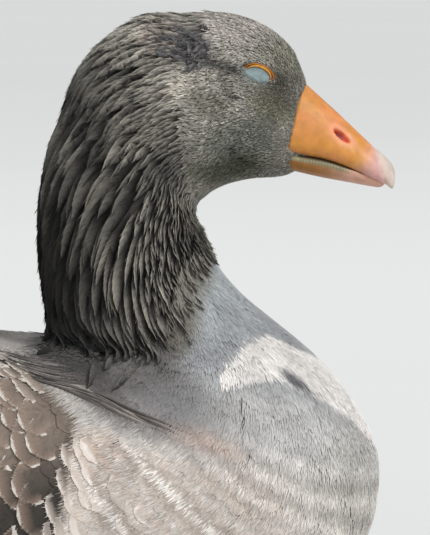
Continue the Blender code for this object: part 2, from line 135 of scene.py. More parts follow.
def smooth_curve(values: Array, at: Array) -> Array:
    """A Catmull-Rom curve through rows of values.

    Args:
        values: The rows that the curve passes through.
        at: Fractional row numbers.
    Returns:
        One row for each number in at.
    """
    values = np.asarray(values, float)
    last = len(values) - 1
    low = np.clip(np.floor(at).astype(int), 0, last - 1)
    part = (at - low)[:, None]
    ends = np.vstack([2 * values[0] - values[1], values, 2 * values[-1] - values[-2]])
    before, start, end, after = (ends[low + step] for step in range(4))
    bend = 2 * before - 5 * start + 4 * end - after
    turn = 3 * start - before - 3 * end + after
    return 0.5 * (2 * start + part * (end - before + part * (bend + part * turn)))


def blurred(grid: Array, sigma: float, axis: int, wraps: bool) -> Array:
    """A grid blurred with a Gaussian along one axis.

    Args:
        grid: The values.
        sigma: The blur's spread, in cells.
        axis: The axis to blur along.
        wraps: Whether that axis closes on itself, or is mirrored at its ends.
    Returns:
        The blurred grid.
    """
    if sigma <= 0:
        return grid
    reach = int(3 * sigma) + 1
    steps = np.arange(-reach, reach + 1)
    weights = np.exp(-0.5 * (steps / sigma) ** 2)
    weights /= weights.sum()
    moved = np.moveaxis(grid, axis, 0)
    mode = "wrap" if wraps else "edge"
    padded = np.pad(moved, [(reach, reach)] + [(0, 0)] * (moved.ndim - 1), mode=mode)
    total = sum(weight * padded[step : step + len(moved)] for step, weight in enumerate(weights))
    return np.moveaxis(total, 0, axis)


def seen(points: Array) -> tuple[Array, Array]:
    """Where places show from the side and a little above, as the markings are laid out.

    Args:
        points: Places on either side.
    Returns:
        Forward and upward coordinates in the plane down the bird's middle.
    """
    near, up = np.abs(points[..., 1]), points[..., 2] - LOOK_AT[1]
    rise, fall = math.cos(LOOK_DOWN), math.sin(LOOK_DOWN)
    grown = LOOK_FROM / (LOOK_FROM - rise * near - fall * up)
    forward = LOOK_AT[0] + (points[..., 0] - LOOK_AT[0]) * grown
    return forward, LOOK_AT[1] + (rise * up - fall * near) * grown


def patchy(points: Array, scale: float, seed: int) -> Array:
    """Soft random patches over space, from -1 to 1.

    Args:
        points: Places in millimetres, one row each.
        scale: The size of a patch in millimetres.
        seed: Which pattern to draw.
    Returns:
        One value for each place.
    """
    draw = np.random.default_rng(seed)
    total = np.zeros(len(points))
    for octave in range(3):
        waves = draw.normal(size=(6, 3)) * 2.6 * 2**octave / scale
        shifts = draw.uniform(0, 2 * math.pi, 6)
        total += np.sin(points @ waves.T + shifts).sum(axis=1) / (2.6 * 1.6**octave)
    return np.clip(total / 1.6, -1, 1)


# ---------------------------------------------------------------- the map of a form


@dataclass(frozen=True)
class Guide:
    """One place on a form's centreline: where it is, and how its section leans.

    The lean is the turn in degrees from straight up to the section's back side, positive
    towards the bill.
    """

    x: float
    z: float
    lean: float


class FormMap:
    """A smooth map of one rounded form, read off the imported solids.

    Rays are cast from the centreline to the outermost solid, ring by ring. The map runs from
    ring 0 at the form's front, and round each ring from the back line to the bird's left.
    """

    THIN_CUT = 3.2  # solids parted by less than this count as one
    MOST_FACES = 12  # how many faces a ray may cross
    STRAY, STRAY_SPAN = 1.0, 11  # how far off a stray ray lands, and how many rings judge it

    def __init__(
        self,
        nodes: Sequence[bpy.types.Object],
        guides: Sequence[Guide],
        rings: int,
        spokes: int,
        smoothing: tuple[float, float],
    ) -> None:
        """Reads the form.

        Args:
            nodes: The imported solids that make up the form.
            guides: Its centreline, from front to rear.
            rings: How many rings to cut it into.
            spokes: How many rays to cast on the left half of each ring.
            smoothing: Blur along the form and round it, in cells.
        """
        tree = self._tree(nodes)
        self.guide = np.linspace(0, len(guides) - 1, rings)
        rows = np.array([[guide.x, 0.0, guide.z, math.radians(guide.lean)] for guide in guides])
        line = smooth_curve(rows, self.guide)
        self.centres = line[:, :3]
        ups = np.stack([np.sin(line[:, 3]), 0 * self.guide, np.cos(line[:, 3])], axis=-1)
        self.half, self.around = spokes, 2 * (spokes - 1)
        turns = np.linspace(0, 2 * math.pi, self.around, endpoint=False)[None, :, None]
        ways = np.cos(turns) * ups[:, None, :] + np.sin(turns) * np.array([0, 1.0, 0])
        reach = np.array(
            [
                [self._reach(tree, centre, way) for way in fan[:spokes]]
                for centre, fan in zip(self.centres, ways)
            ]
        )
        reach = self._mirrored(self._without_strays(reach))
        reach = blurred(blurred(reach, smoothing[0], 0, False), smoothing[1], 1, True)
        self.points = self.shaped(self.centres[:, None, :] + reach[..., None] * ways)
        self.along = np.gradient(self.points, axis=0)
        wrapped = np.concatenate([self.points[:, -1:], self.points, self.points[:, :1]], axis=1)
        self.round = (wrapped[:, 2:] - wrapped[:, :-2]) / 2
        self.normals = unit(np.cross(self.round, self.along))

    def shaped(self, points: Array) -> Array:
        """The map's points as they were read; a form may draw them further."""
        return points

    @staticmethod
    def _tree(nodes: Sequence[bpy.types.Object]) -> BVHTree:
        """One search tree of all the nodes' faces, in millimetres."""
        verts, faces = [], []
        for node in nodes:
            base = len(verts)
            verts += [tuple(vertex.co / MM) for vertex in node.data.vertices]
            faces += [[base + index for index in face.vertices] for face in node.data.polygons]
        return BVHTree.FromPolygons(verts, faces)

    def _reach(self, tree: BVHTree, start: Array, way: Array) -> float:
        """How far the solids reach from a point one way, thin cuts counted as solid."""
        origin, direction = Vector(start), Vector(way)
        travelled, best = 0.0, 0.0
        for _ in range(self.MOST_FACES):
            place, normal, _, distance = tree.ray_cast(origin + direction * travelled, direction)
            if place is None:
                break
            entering = normal.dot(direction) < 0
            if entering and best and travelled + distance - best > self.THIN_CUT:
                break
            travelled += distance + 1e-3
            if not entering:
                best = travelled
        return best

    def _without_strays(self, reach: Array) -> Array:
        """The reach with the rays that ran along a thin cut set right from their neighbours."""
        padded = np.pad(reach, [(self.STRAY_SPAN, self.STRAY_SPAN), (0, 0)], mode="edge")
        spans = [padded[step : step + len(reach)] for step in range(2 * self.STRAY_SPAN + 1)]
        middle = np.median(spans, axis=0)
        return np.where(np.abs(reach - middle) > self.STRAY, middle, reach)

    @staticmethod
    def _mirrored(half: Array) -> Array:
        """The left half of each ring, followed by its mirror image."""
        return np.concatenate([half, half[:, -2:0:-1]], axis=1)

    def sample(self, grid: Array, ring: Array, spoke: Array) -> Array:
        """Values of a grid at fractional rings and spokes.

        Args:
            grid: Values on the map, (rings, spokes) or (rings, spokes, n).
            ring: Fractional ring numbers.
            spoke: Fractional spoke numbers, which wrap.
        Returns:
            The values between the four nearest places.
        """
        ring = np.clip(ring, 0, len(grid) - 1.001)
        low, part = np.floor(ring).astype(int), ring - np.floor(ring)
        spoke = np.mod(spoke, self.around)
        left, share = np.floor(spoke).astype(int) % self.around, spoke - np.floor(spoke)
        right = (left + 1) % self.around
        if grid.ndim == 3:
            part, share = part[:, None], share[:, None]
        near = grid[low, left] * (1 - share) + grid[low, right] * share
        far = grid[low + 1, left] * (1 - share) + grid[low + 1, right] * share
        return near * (1 - part) + far * part

    def place(self, ring: Array, spoke: Array) -> Array:
        """Points on the form."""
        return self.sample(self.points, ring, spoke)

    def normal(self, ring: Array, spoke: Array) -> Array:
        """Outward directions on the form."""
        return unit(self.sample(self.normals, ring, spoke))

    def bake_place(self, ring: Array, spoke: Array) -> Array:
        """Places on the unwrap of the form: round it, and along it."""
        return on_unwrap(np.mod(spoke, self.around) / self.around, ring / (len(self.points) - 1))

    def turn(self, spoke: Array) -> Array:
        """How far round the form places lie, from 0 on the back line to 1 on the belly line."""
        spoke = np.mod(spoke, self.around)
        return np.minimum(spoke, self.around - spoke) / (self.half - 1)

    def guide_at(self, ring: Array) -> Array:
        """The guide numbers of fractional rings."""
        return np.interp(ring, np.arange(len(self.guide)), self.guide)


BODY_LINE = (
    Guide(224.5, 257.8, 13.4), Guide(218.8, 261.9, 13.5), Guide(210.8, 266.9, 10),
    Guide(202, 269.8, 5.8), Guide(192.5, 271, 1.3), Guide(182.8, 270, -2.3),
    Guide(173.8, 267.5, -7.2), Guide(164, 266, -14.9), Guide(154.4, 259.3, -25),
    Guide(146, 249.3, -37.4), Guide(142.3, 235, -50.9), Guide(139.8, 219.5, -66.7),
    Guide(139.8, 202.8, -81.4), Guide(143.3, 184.8, -91), Guide(150.3, 167.8, -95.7),
    Guide(158.5, 153.5, -94), Guide(161, 144, -86), Guide(151.3, 134.5, -79),
    Guide(133.8, 123.5, -74.3), Guide(103.5, 103.3, -68.5), Guide(57, 83.5, -63.7),
    Guide(-13, 76, -57.7), Guide(-80.5, 72, -48.9), Guide(-133.5, 74, -39.9),
    Guide(-169, 84, -36.5), Guide(-193, 98, -39.4), Guide(-212, 107.5, -42),
    Guide(-230, 112.5, -40),
)
NECK_END = ((0.0, 0.2, 0.32, 0.46, 0.57, 0.72, 1.0), (15.1, 15.7, 16.8, 16.35, 15.2, 13.7, 12.2))


def neck_end(turn: Array) -> Array:
    """The guide number where the neck's locks end, from back line to belly line."""
    return np.interp(turn, *NECK_END)


@dataclass(frozen=True)
class Lie:
    """A place where the plumage lies aslant: where, how far it reaches and how far it turns.

    The turn is in degrees from the way along the body towards the belly.
    """

    x: float
    z: float
    reach: float
    turn: float


LIES = (
    Lie(123.5, 213, 14, -20), Lie(142.5, 237, 14, -46), Lie(162, 213, 12, -52),
    Lie(152, 220, 10, -44), Lie(113.5, 251.5, 14, -16), Lie(137.5, 266, 12, -12),
    Lie(124.5, 190, 14, -30), Lie(139.5, 205, 12, -30), Lie(154.5, 195, 12, -34),
    Lie(109.5, 172, 10, -20), Lie(127, 165, 12, -18), Lie(137, 152.5, 10, -20),
    Lie(107, 152.5, 10, 62), Lie(123, 141, 10, 62), Lie(146, 142, 8, 6),
    Lie(161, 147.5, 8, -12), Lie(164.5, 180, 10, -24), Lie(164.5, 165, 8, -32),
    Lie(174.5, 174, 7, 12), Lie(159.5, 255, 12, -22), Lie(169.5, 197.5, 5, -28),
    Lie(104.5, 220, 12, -12), Lie(177, 270, 10, -6), Lie(192, 290, 12, 14),
    Lie(147, 305, 10, -12), Lie(179.5, 155, 10, -24), Lie(192, 140, 12, -4),
    Lie(152, 120, 12, 14), Lie(172, 120, 12, 18), Lie(197, 120, 12, 22), Lie(227, 120, 14, 14),
    Lie(127, 95, 10, -20), Lie(139.5, 82.5, 10, -14), Lie(152, 70, 10, -8),
    Lie(164.5, 90, 10, -6), Lie(179.5, 70, 10, 0), Lie(184.5, 90, 10, 6), Lie(202, 80, 12, 16),
    Lie(224.5, 80, 12, 26), Lie(244.5, 85, 12, 38), Lie(252, 110, 12, -6),
    Lie(177, 102.5, 8, 4), Lie(199.5, 100, 10, 20), Lie(92, 80, 20, -14),
)


@dataclass(frozen=True)
class Crease:
    """A furrow or a swelling of the face, along a line seen from the side.

    Attributes:
        line: Its places, forward and upward.
        width: How far it spreads to each side.
        rise: How far it stands out, less than 0 for a furrow.
        dark: The share of the shade that it takes away, as painted shade in a furrow; less than 0
            it is painted light on a swelling.
    """

    line: tuple[tuple[float, float], ...]
    width: float
    rise: float
    dark: float = 0.0

    def nearness(self, x: Array, z: Array) -> Array:
        """1 on the line, fading to 0 away from it."""
        best = np.full(np.shape(x), 1e9)
        for (x0, z0), (x1, z1) in zip(self.line, self.line[1:] or self.line):
            dx, dz = x1 - x0, z1 - z0
            share = ((x - x0) * dx + (z - z0) * dz) / max(dx * dx + dz * dz, 1e-6)
            share = np.clip(share, 0, 1)
            best = np.minimum(best, (x - x0 - share * dx) ** 2 + (z - z0 - share * dz) ** 2)
        return np.exp(-best / (2 * self.width**2))


EYE = (206.2, 284.0)
EYE_LEAN, EYE_HALF = -20.0, (7.8, 4.6)
# A crease's last number is painted shade in a furrow, or painted light on a swelling where it is
# below 0.
CREASES = (
    Crease(((206.2, 281.9),), 7, -1.4),
    Crease(((198, 284), (190, 287), (180, 290), (172, 291.5), (165, 291)),
           1.9, -1.9, 0.5),
    Crease(((190, 281.5), (192, 275.5), (195, 270.5)), 1.6, -1.2, 0.32),
    Crease(((190, 291), (198, 290.5), (207, 289), (215, 285.5)), 2.4, 1.6, -0.06),
    Crease(((200, 286.8), (207, 287), (213, 284.5)), 0.9, -0.6, 0.5),
    Crease(((214, 282), (220, 280.5), (226, 280.5)), 1.8, -0.7, 0.16),
    Crease(((173, 278),), 9.5, 1.7, -0.12),
    Crease(((186, 259), (197, 254)), 8.5, 1.2, -0.06),
    Crease(((219.5, 258), (218.5, 252)), 3.8, 1, -0.16),
    Crease(((213, 273), (221, 268)), 5, -0.8, 0.14),
    Crease(((192, 246), (196, 241), (200, 237.5)), 1.7, -0.8, 0.25),
    Crease(((207, 239), (214, 240), (219, 244)), 2.6, 0.8, -0.05),
)


class Body(FormMap):
    """The map of head, neck and trunk, with the lie of the plumage and its rows and files."""

    def __init__(self, nodes: Sequence[bpy.types.Object]) -> None:
        """Reads the body and lays out rows and files on its left half."""
        super().__init__(nodes, BODY_LINE, RINGS, HALF_SPOKES, (3.2, 1.6))
        self.lie = self._lie()
        half = self.points[:, : self.half]
        lie = self.lie[:, : self.half]
        files = unit(np.cross(lie, self.normals[:, : self.half]))
        self.row = self._potential(half, lie)
        self.file = self._potential(half, files)
        low = int(np.argmin(np.abs(self.guide - 12.0)))
        self.file -= self.file[low : low + 1, :1]
        self.rows = self._mirrored(self.row)

    def shaped(self, points: Array) -> Array:
        """Draws the face in to the bill, and the chin forward under it."""
        guide = self.guide[:, None]
        turn = np.linspace(0, 2, self.around, endpoint=False)[None, :]
        turn = np.minimum(turn, 2 - turn)
        near = 1 - eased(guide, 0.0, 1.1)
        points = points.copy()
        middle = self.centres[:, None, :]
        points += (middle - points) * (0.10 * near**1.5 * eased(turn, 0.0, 0.15))[..., None]
        points[..., 0] += 2.2 * (1 - eased(guide, 0.0, 0.7))
        sides = eased(np.abs(points[..., 1]), 2.0, 8.0)
        out = unit(points - middle)
        x, z = seen(points)
        for crease in CREASES:
            points += out * (crease.rise * crease.nearness(x, z) * sides)[..., None]
        chin = (1 - eased(guide, 0.0, 2.6)) * eased(turn, 0.72, 0.93)
        points[..., 0] += 13.0 * chin
        points[..., 2] += 5.0 * chin * (1 - eased(guide, 0.0, 1.6))
        brow = (1 - eased(guide, 0.0, 1.5)) * (1 - eased(turn, 0.1, 0.5))
        points[..., 0] += 1.5 * brow
        z = points[..., 2]
        border = 222.3 + 0.165 * (z - 248.5) + 2.4 * eased(z, 270.0, 279.0)
        border -= 0.55 * np.maximum(z - 279.0, 0)
        over = np.maximum(points[..., 0] - border, 0) * eased(z, 243.0, 247.0) * (guide < 4)
        points[..., 0] -= 0.95 * over
        return points

    def _lie(self) -> Array:
        """The way the plumage lies at each place of the map."""
        ahead = unit(self.along)
        down = unit(np.cross(ahead, self.normals))
        down *= np.where(np.arange(self.around) < self.half, 1.0, -1.0)[None, :, None]
        turn, total = np.zeros(self.points.shape[:2]), 0.3
        x, z = seen(self.points)
        for lie in LIES:
            away = (x - lie.x) ** 2 + (z - lie.z) ** 2
            share = np.exp(-away / (2 * lie.reach**2))
            turn, total = turn + math.radians(lie.turn) * share, total + share
        turn = (turn / total)[..., None]
        return unit(ahead * np.cos(turn) + down * np.sin(turn))

    @staticmethod
    def _potential(points: Array, lie: Array) -> Array:
        """A coordinate that grows by one for each millimetre along a field of directions.

        Args:
            points: The map's points.
            lie: The unit direction at each.
        Returns:
            The coordinate at each point, as near as one can fit the field.
        """
        steps = [np.diff(points, axis=axis) for axis in (0, 1)]
        means = [(lie[1:] + lie[:-1]) / 2, (lie[:, 1:] + lie[:, :-1]) / 2]
        goals = [(step * mean).sum(-1) for step, mean in zip(steps, means)]
        weights = [1 / np.maximum(np.linalg.norm(step, axis=-1), 0.3) for step in steps]

        def spread(flows: list[Array]) -> Array:
            """Adds up what flows into each place along its edges."""
            total = np.zeros(points.shape[:2])
            total[1:] += flows[0]
            total[:-1] -= flows[0]
            total[:, 1:] += flows[1]
            total[:, :-1] -= flows[1]
            return total

        def applied(values: Array) -> Array:
            """The weighted sum of differences with each place's neighbours."""
            return spread([w * np.diff(values, axis=i) for i, w in enumerate(weights)])

        goal = spread([w * g for w, g in zip(weights, goals)])
        found = np.zeros(points.shape[:2])
        found[:] = np.cumsum(np.concatenate([[0], goals[0].mean(axis=1)]))[:, None]
        rest = goal - applied(found)
        search, size = rest.copy(), float((rest**2).sum())
        for _ in range(900):
            pushed = applied(search)
            step = size / max(float((search * pushed).sum()), 1e-12)
            found += step * search
            rest -= step * pushed
            fresh = float((rest**2).sum())
            if fresh < 1e-7:
                break
            search = rest + fresh / size * search
            size = fresh
        return found

    def rates(self, values: Array) -> Array:
        """How fast a coordinate grows over the left half of the surface, per millimetre."""
        along = self.along[:, : self.half]
        around = self.round[:, : self.half]
        by_ring, by_spoke = np.gradient(values, axis=0), np.gradient(values, axis=1)
        aa, bb = dot(along, along)[..., 0], dot(around, around)[..., 0]
        ab = dot(along, around)[..., 0]
        scale = np.maximum(aa * bb - ab * ab, 1e-6)
        total = (by_ring**2 * bb - 2 * by_ring * by_spoke * ab + by_spoke**2 * aa) / scale
        return np.sqrt(np.clip(total, 0.2, 5.0))


@dataclass
class Roots:
    """Where the feathers of one tract grow: map places, points, and how the rows spread."""

    ring: Array
    spoke: Array
    at: Array
    guide: Array
    turn: Array
    stretch: Array
    spread: Array

    def __len__(self) -> int:
        """The number of roots."""
        return len(self.ring)

    def bellywards(self) -> Array:
        """1 where a feather's rising columns head for the belly, or -1 on the left side."""
        return np.where(self.spoke < HALF_SPOKES - 1, -1.0, 1.0)

    def kept(self, mask: Array) -> "Roots":
        """The roots that a mask keeps."""
        parts = (self.ring, self.spoke, self.at, self.guide, self.turn, self.stretch)
        return Roots(*[part[mask] for part in (*parts, self.spread)])


class Sower:
    """Sets out the roots of the feathers on the body, in rows and files."""

    FINE = (5, 4)  # sub-steps of a map cell along and round

    def __init__(self, body: Body) -> None:
        """Samples the rows and files finely on the left half."""
        self.body = body
        rings = np.arange(0, len(body.points) - 1, 1 / self.FINE[0])
        spokes = np.arange(0, body.half - 1 + 1e-6, 1 / self.FINE[1])
        self.rings = np.repeat(rings, len(spokes))
        self.spokes = np.tile(spokes, len(rings))
        fields = np.stack(
            [body.row, body.file, body.rates(body.row), body.rates(body.file)], axis=-1
        )
        whole = np.concatenate([fields, fields[:, -2:0:-1]], axis=1)
        self.fields = body.sample(whole, self.rings, self.spokes)

    def rows(self, step: float, spacing: float, stagger: float, jitter: float, seed: int) -> Roots:
        """Roots in rows and files over the whole body.

        Args:
            step: From one row to the next, in millimetres.
            spacing: From one file to the next.
            stagger: Up to 0.5 shifts every other file by that share of a row, 1 shifts each
                file its own way.
            jitter: How far a root strays, as a share of its spacing.
            seed: Which strays to draw.
        Returns:
            The roots on both sides.
        """
        body = self.body
        v = self.fields[:, 1] / spacing - 0.5
        near_v = np.round(v)
        phase = stagger * np.mod(near_v, 2) if stagger <= 0.5 else np.mod(near_v * 0.618, 1)
        u = self.fields[:, 0] / step + phase
        near_u = np.round(u)
        off = (u - near_u) ** 2 + (v - near_v) ** 2
        block = (self.rings // 30).astype(np.int64)
        key = (block * 4001 + near_u.astype(np.int64) + 2000) * 4001 + near_v.astype(np.int64)
        order = np.lexsort((off, key))
        first = order[np.r_[True, np.diff(key[order]) != 0]]
        first = first[off[first] < 0.05]
        ring, spoke = self.rings[first], self.spokes[first]
        stretch, spread = (1 / self.fields[first, 2:4]).T
        draw = np.random.default_rng(seed)
        sides = []
        for side in (1, -1):
            astray = draw.normal(size=(2, len(ring))) * jitter
            along = np.linalg.norm(body.sample(body.along, ring, spoke), axis=1)
            around = np.linalg.norm(body.sample(body.round, ring, spoke), axis=1)
            r = ring + astray[0] * step / np.maximum(along, 0.2)
            s = spoke + astray[1] * spacing / np.maximum(around, 0.2)
            sides.append((r, s if side > 0 else body.around - s))
        ring = np.clip(np.concatenate([side[0] for side in sides]), 0, len(body.points) - 1.01)
        spoke = np.concatenate([side[1] for side in sides])
        found = self._roots(ring, spoke, np.tile(stretch, 2), np.tile(spread, 2))
        return found.kept(self._apart(found.at, 0.42 * min(step, spacing)))

    def scattered(self, apart: float, seed: int, where: Callable[[Roots], Array]) -> Roots:
        """Roots scattered no closer than a distance, with no rows.

        Args:
            apart: The least distance between two roots, in millimetres.
            seed: Which scatter to draw.
            where: Tells which roots are wanted.
        Returns:
            The roots on both sides.
        """
        body, draw = self.body, np.random.default_rng(seed)
        rings, around = len(body.points) - 1, body.around
        cells = np.linalg.norm(np.cross(body.along, body.round), axis=-1)[:-1]
        chance = (cells / cells.sum()).ravel()
        count = int(cells.sum() / apart**2 * 2.2)
        cell = draw.choice(len(chance), size=count, p=chance)
        ring = cell // around + draw.random(count)
        spoke = cell % around + draw.random(count)
        ones = np.ones(count)
        found = self._roots(np.clip(ring, 0, rings - 0.01), spoke, ones, ones)
        found = found.kept(where(found))
        return found.kept(self._apart(found.at, apart))

    def _roots(self, ring: Array, spoke: Array, stretch: Array, spread: Array) -> Roots:
        """Fills in what a root needs to know of its place."""
        body = self.body
        spoke = np.mod(spoke, body.around)
        at, turn = body.place(ring, spoke), body.turn(spoke)
        return Roots(ring, spoke, at, body.guide_at(ring), turn, stretch, spread)

    @staticmethod
    def _apart(points: Array, least: float) -> Array:
        """Which points to keep so that none is closer than the least distance to another."""
        tree = KDTree(len(points))
        for number, point in enumerate(points):
            tree.insert(point, number)
        tree.balance()
        keep = np.ones(len(points), bool)
        for number, point in enumerate(points):
            if keep[number]:
                for _, other, _ in tree.find_range(point, least):
                    if other > number:
                        keep[other] = False
        return keep


# ---------------------------------------------------------------- shaping feathers


@dataclass(frozen=True)
class Cut:
    """How one kind of feather is cut. Lengths in millimetres, shares from 0 to 1.

    Attributes:
        length: From root to tip.
        breadth: Across its widest place.
        rows: Steps from root to tip.
        columns: Steps from edge to edge.
        depth: How far the root lies under the plumage's outer surface.
        lift: How far the tip stands off that surface.
        camber: How far the middle stands over the edges.
        roll: How far the edge away from the belly is raised, which makes furrows.
        root_share: The breadth at the root.
        widest: Where along it the breadth is greatest.
        taper: How much of the breadth is gone at the tip.
        tip: How far the tip's corners fall back, as a share of the length.
        tip_power: How square the tip is; 2 is round, more is squarer.
        fray: How far the barbs at the tip and edges stand apart.
        unevenness: How much length and breadth vary.
        twist: How many degrees the feather may point astray.
        turn: How many degrees all of them turn off the lie, towards the belly.
    """

    length: float
    breadth: float
    rows: int = 5
    columns: int = 4
    depth: float = 4.0
    lift: float = 0.0
    camber: float = 0.5
    roll: float = 0.0
    root_share: float = 0.45
    widest: float = 0.55
    taper: float = 0.0
    tip: float = 0.25
    tip_power: float = 2.0
    fray: float = 0.0
    unevenness: float = 0.08
    twist: float = 4.0
    turn: float = 0.0


@dataclass(frozen=True)
class Dye:
    """How one kind of feather is coloured along and across, over the markings.

    Attributes:
        gain: A factor on the markings' shade.
        root: How bright the root is, as a share of the rest: partly the feathers' darker bases,
            partly painted shade where they lie under their neighbours.
        valley_shade: How bright the low edge is, as painted shade that deepens the furrows.
        crest_highlight: A factor on the raised edge, as a painted highlight along it.
        shade_jitter: How much brightness varies from one feather to the next.
        shade: A shade of its own that stands in for the markings, or none.
        rooted: Whether a feather keeps the shade of its root all along.
        side_rim: How quickly the rim fades from the tip along the sides.
    """

    gain: float = 1.0
    root: float = 0.6
    valley_shade: float = 1.0
    crest_highlight: float = 1.0
    shade_jitter: float = 0.08
    shade: tuple[float, float, float] | None = None
    rooted: bool = False
    side_rim: float = 1.4


@dataclass(frozen=True)
class Barb:
    """How fine barbs lie over a kind of feather. Lengths in millimetres.

    Attributes:
        each: How many lie over one feather.
        length: Their length.
        breadth: Their breadth.
        start: How far up the feather they begin, as a share.
        fringe: The share of them that stands along the feather's edge.
        tips: The share of the fringe that stands along the tip.
        reach: A factor on the length of the fringe.
        sweep: Their angle off the shaft, in radians.
        lift: How far their tips stand off.
        jitter: How much their brightness varies.
        pale: The fringe's own shade, or none.
        crested: Whether they keep to the raised edge and off the low one.
    """

    each: int
    length: float = 4.0
    breadth: float = 0.5
    start: float = 0.3
    fringe: float = 0.4
    tips: float = 0.3
    reach: float = 0.8
    sweep: float = 0.4
    lift: float = 0.35
    jitter: float = 0.16
    pale: tuple[float, float, float] | None = None
    crested: bool = False


@dataclass
class Sheaf:
    """Feathers as one list of corners and faces, with what each corner carries."""

    corners: Array
    quads: Array
    triangles: Array
    tint: Array
    rim: Array
    vane: Array
    bake: Array

    def piece(self, name: str, finish: bpy.types.Material) -> bpy.types.Object:
        """Writes the sheaf as a mesh object that rides on the body.

        Args:
            name: The piece's name.
            finish: Its material.
        Returns:
            The new object.
        """
        mesh = bpy.data.meshes.new(name)
        count, fours, threes = len(self.corners), len(self.quads), len(self.triangles)
        loops = np.concatenate([self.quads.ravel(), self.triangles.ravel()]).astype(np.int32)
        starts = np.concatenate(
            [np.arange(fours) * 4, fours * 4 + np.arange(threes) * 3]
        ).astype(np.int32)
        mesh.vertices.add(count)
        mesh.loops.add(len(loops))
        mesh.polygons.add(fours + threes)
        mesh.vertices.foreach_set("co", (self.corners * MM).astype(np.float32).ravel())
        mesh.loops.foreach_set("vertex_index", loops)
        mesh.polygons.foreach_set("loop_start", starts)
        mesh.polygons.foreach_set("use_smooth", np.ones(fours + threes, bool))
        mesh.update(calc_edges=True)
        painted(mesh, self.tint)
        rim = mesh.attributes.new("rim", "FLOAT", "POINT")
        rim.data.foreach_set("value", self.rim.astype(np.float32))
        for layer, places in ((BAKE_MAP, self.bake), (VANE_MAP, self.vane)):
            wrap = mesh.uv_layers.new(name=layer)
            wrap.data.foreach_set("uv", places[loops].astype(np.float32).ravel())
        mesh.set_sharp_from_angle(angle=math.radians(55))
        mesh.validate()
        piece = bpy.data.objects.new(name, mesh)
        bpy.context.collection.objects.link(piece)
        mesh.materials.append(finish)
        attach(piece, "root")
        return piece


class Footing:
    """The body's surface under feathers: outward, along their way and across it."""

    def __init__(
        self, body: Body, ring: Array, spoke: Array, astray: Array, level: bool = True
    ) -> None:
        """Reads the surface.

        Args:
            body: The map.
            ring: Fractional rings.
            spoke: Fractional spokes.
            astray: How far each feather points off the lie, in radians.
            level: Whether the lie is first laid flat on the surface.
        """
        self.ring, self.spoke, self.last = ring, spoke, len(body.points) - 1.01
        self.along, self.around = (
            body.sample(grid, ring, spoke) for grid in (body.along, body.round)
        )
        self.normal = unit(np.cross(self.around, self.along))
        ahead = unit(body.sample(body.lie, ring, spoke))
        if level:
            ahead = unit(ahead - dot(ahead, self.normal) * self.normal)
        side = np.cross(self.normal, ahead)
        self.ahead = ahead * np.cos(astray) + side * np.sin(astray)
        self.side = np.cross(self.normal, self.ahead)

    def shifted(self, goal: Array) -> tuple[Array, Array]:
        """The map places that lie a short way off, given in millimetres."""
        along, around = self.along, self.around
        aa, bb, ab = dot(along, along), dot(around, around), dot(along, around)
        ga, gb = dot(along, goal), dot(around, goal)
        scale = np.maximum(aa * bb - ab * ab, 1e-6)
        ring = np.clip(self.ring + ((ga * bb - gb * ab) / scale)[:, 0], 0, self.last)
        return ring, self.spoke + ((gb * aa - ga * ab) / scale)[:, 0]


@dataclass
class Batch:
    """Feathers of one make on their way to a sheaf.

    Attributes:
        roots: Where they grow.
        half: Half breadths.
        length: Lengths.
        draw: The generator of small differences.
    """

    roots: Roots
    half: Array
    length: Array
    draw: np.random.Generator

    def sheaf(
        self,
        body: Body,
        points: Array,
        faces: tuple[Array, Array],
        tint: Array,
        rim: Array,
        across: Array,
        steps: Array,
    ) -> Sheaf:
        """Joins the feathers.

        Args:
            body: The map whose unwrap they take.
            points: Corners, (feathers, corners, 3).
            faces: One feather's quads and triangles.
            tint: Shades, (feathers, corners, 3).
            rim: Each corner's distance from the feather's free edge.
            across: Each corner's place from edge to edge, -1 to 1.
            steps: Each corner's place from root to tip, 0 to 1.
        Returns:
            The sheaf.
        """
        count, size = points.shape[:2]
        points[..., 2] = np.maximum(points[..., 2], FLOOR_GAP)
        vane = np.stack([across * self.half[:, None], steps * self.length[:, None]], axis=-1) * 0.1
        vane[..., 1] += self.draw.random((count, 1)) * VANE_SPREAD
        patch = np.stack([across * 0.5, steps - 0.5], axis=-1) * TUFT_PATCH
        bake = body.bake_place(self.roots.ring, self.roots.spoke)[:, None] + patch[None]
        base = (np.arange(count) * size)[:, None, None]
        quads, threes = ((face[None] + base).reshape(-1, face.shape[1]) for face in faces)
        flat = (count * size, -1)
        return Sheaf(
            points.reshape(flat), quads, threes, tint.reshape(flat), rim.ravel(),
            vane.reshape(flat), bake.reshape(flat),
        )


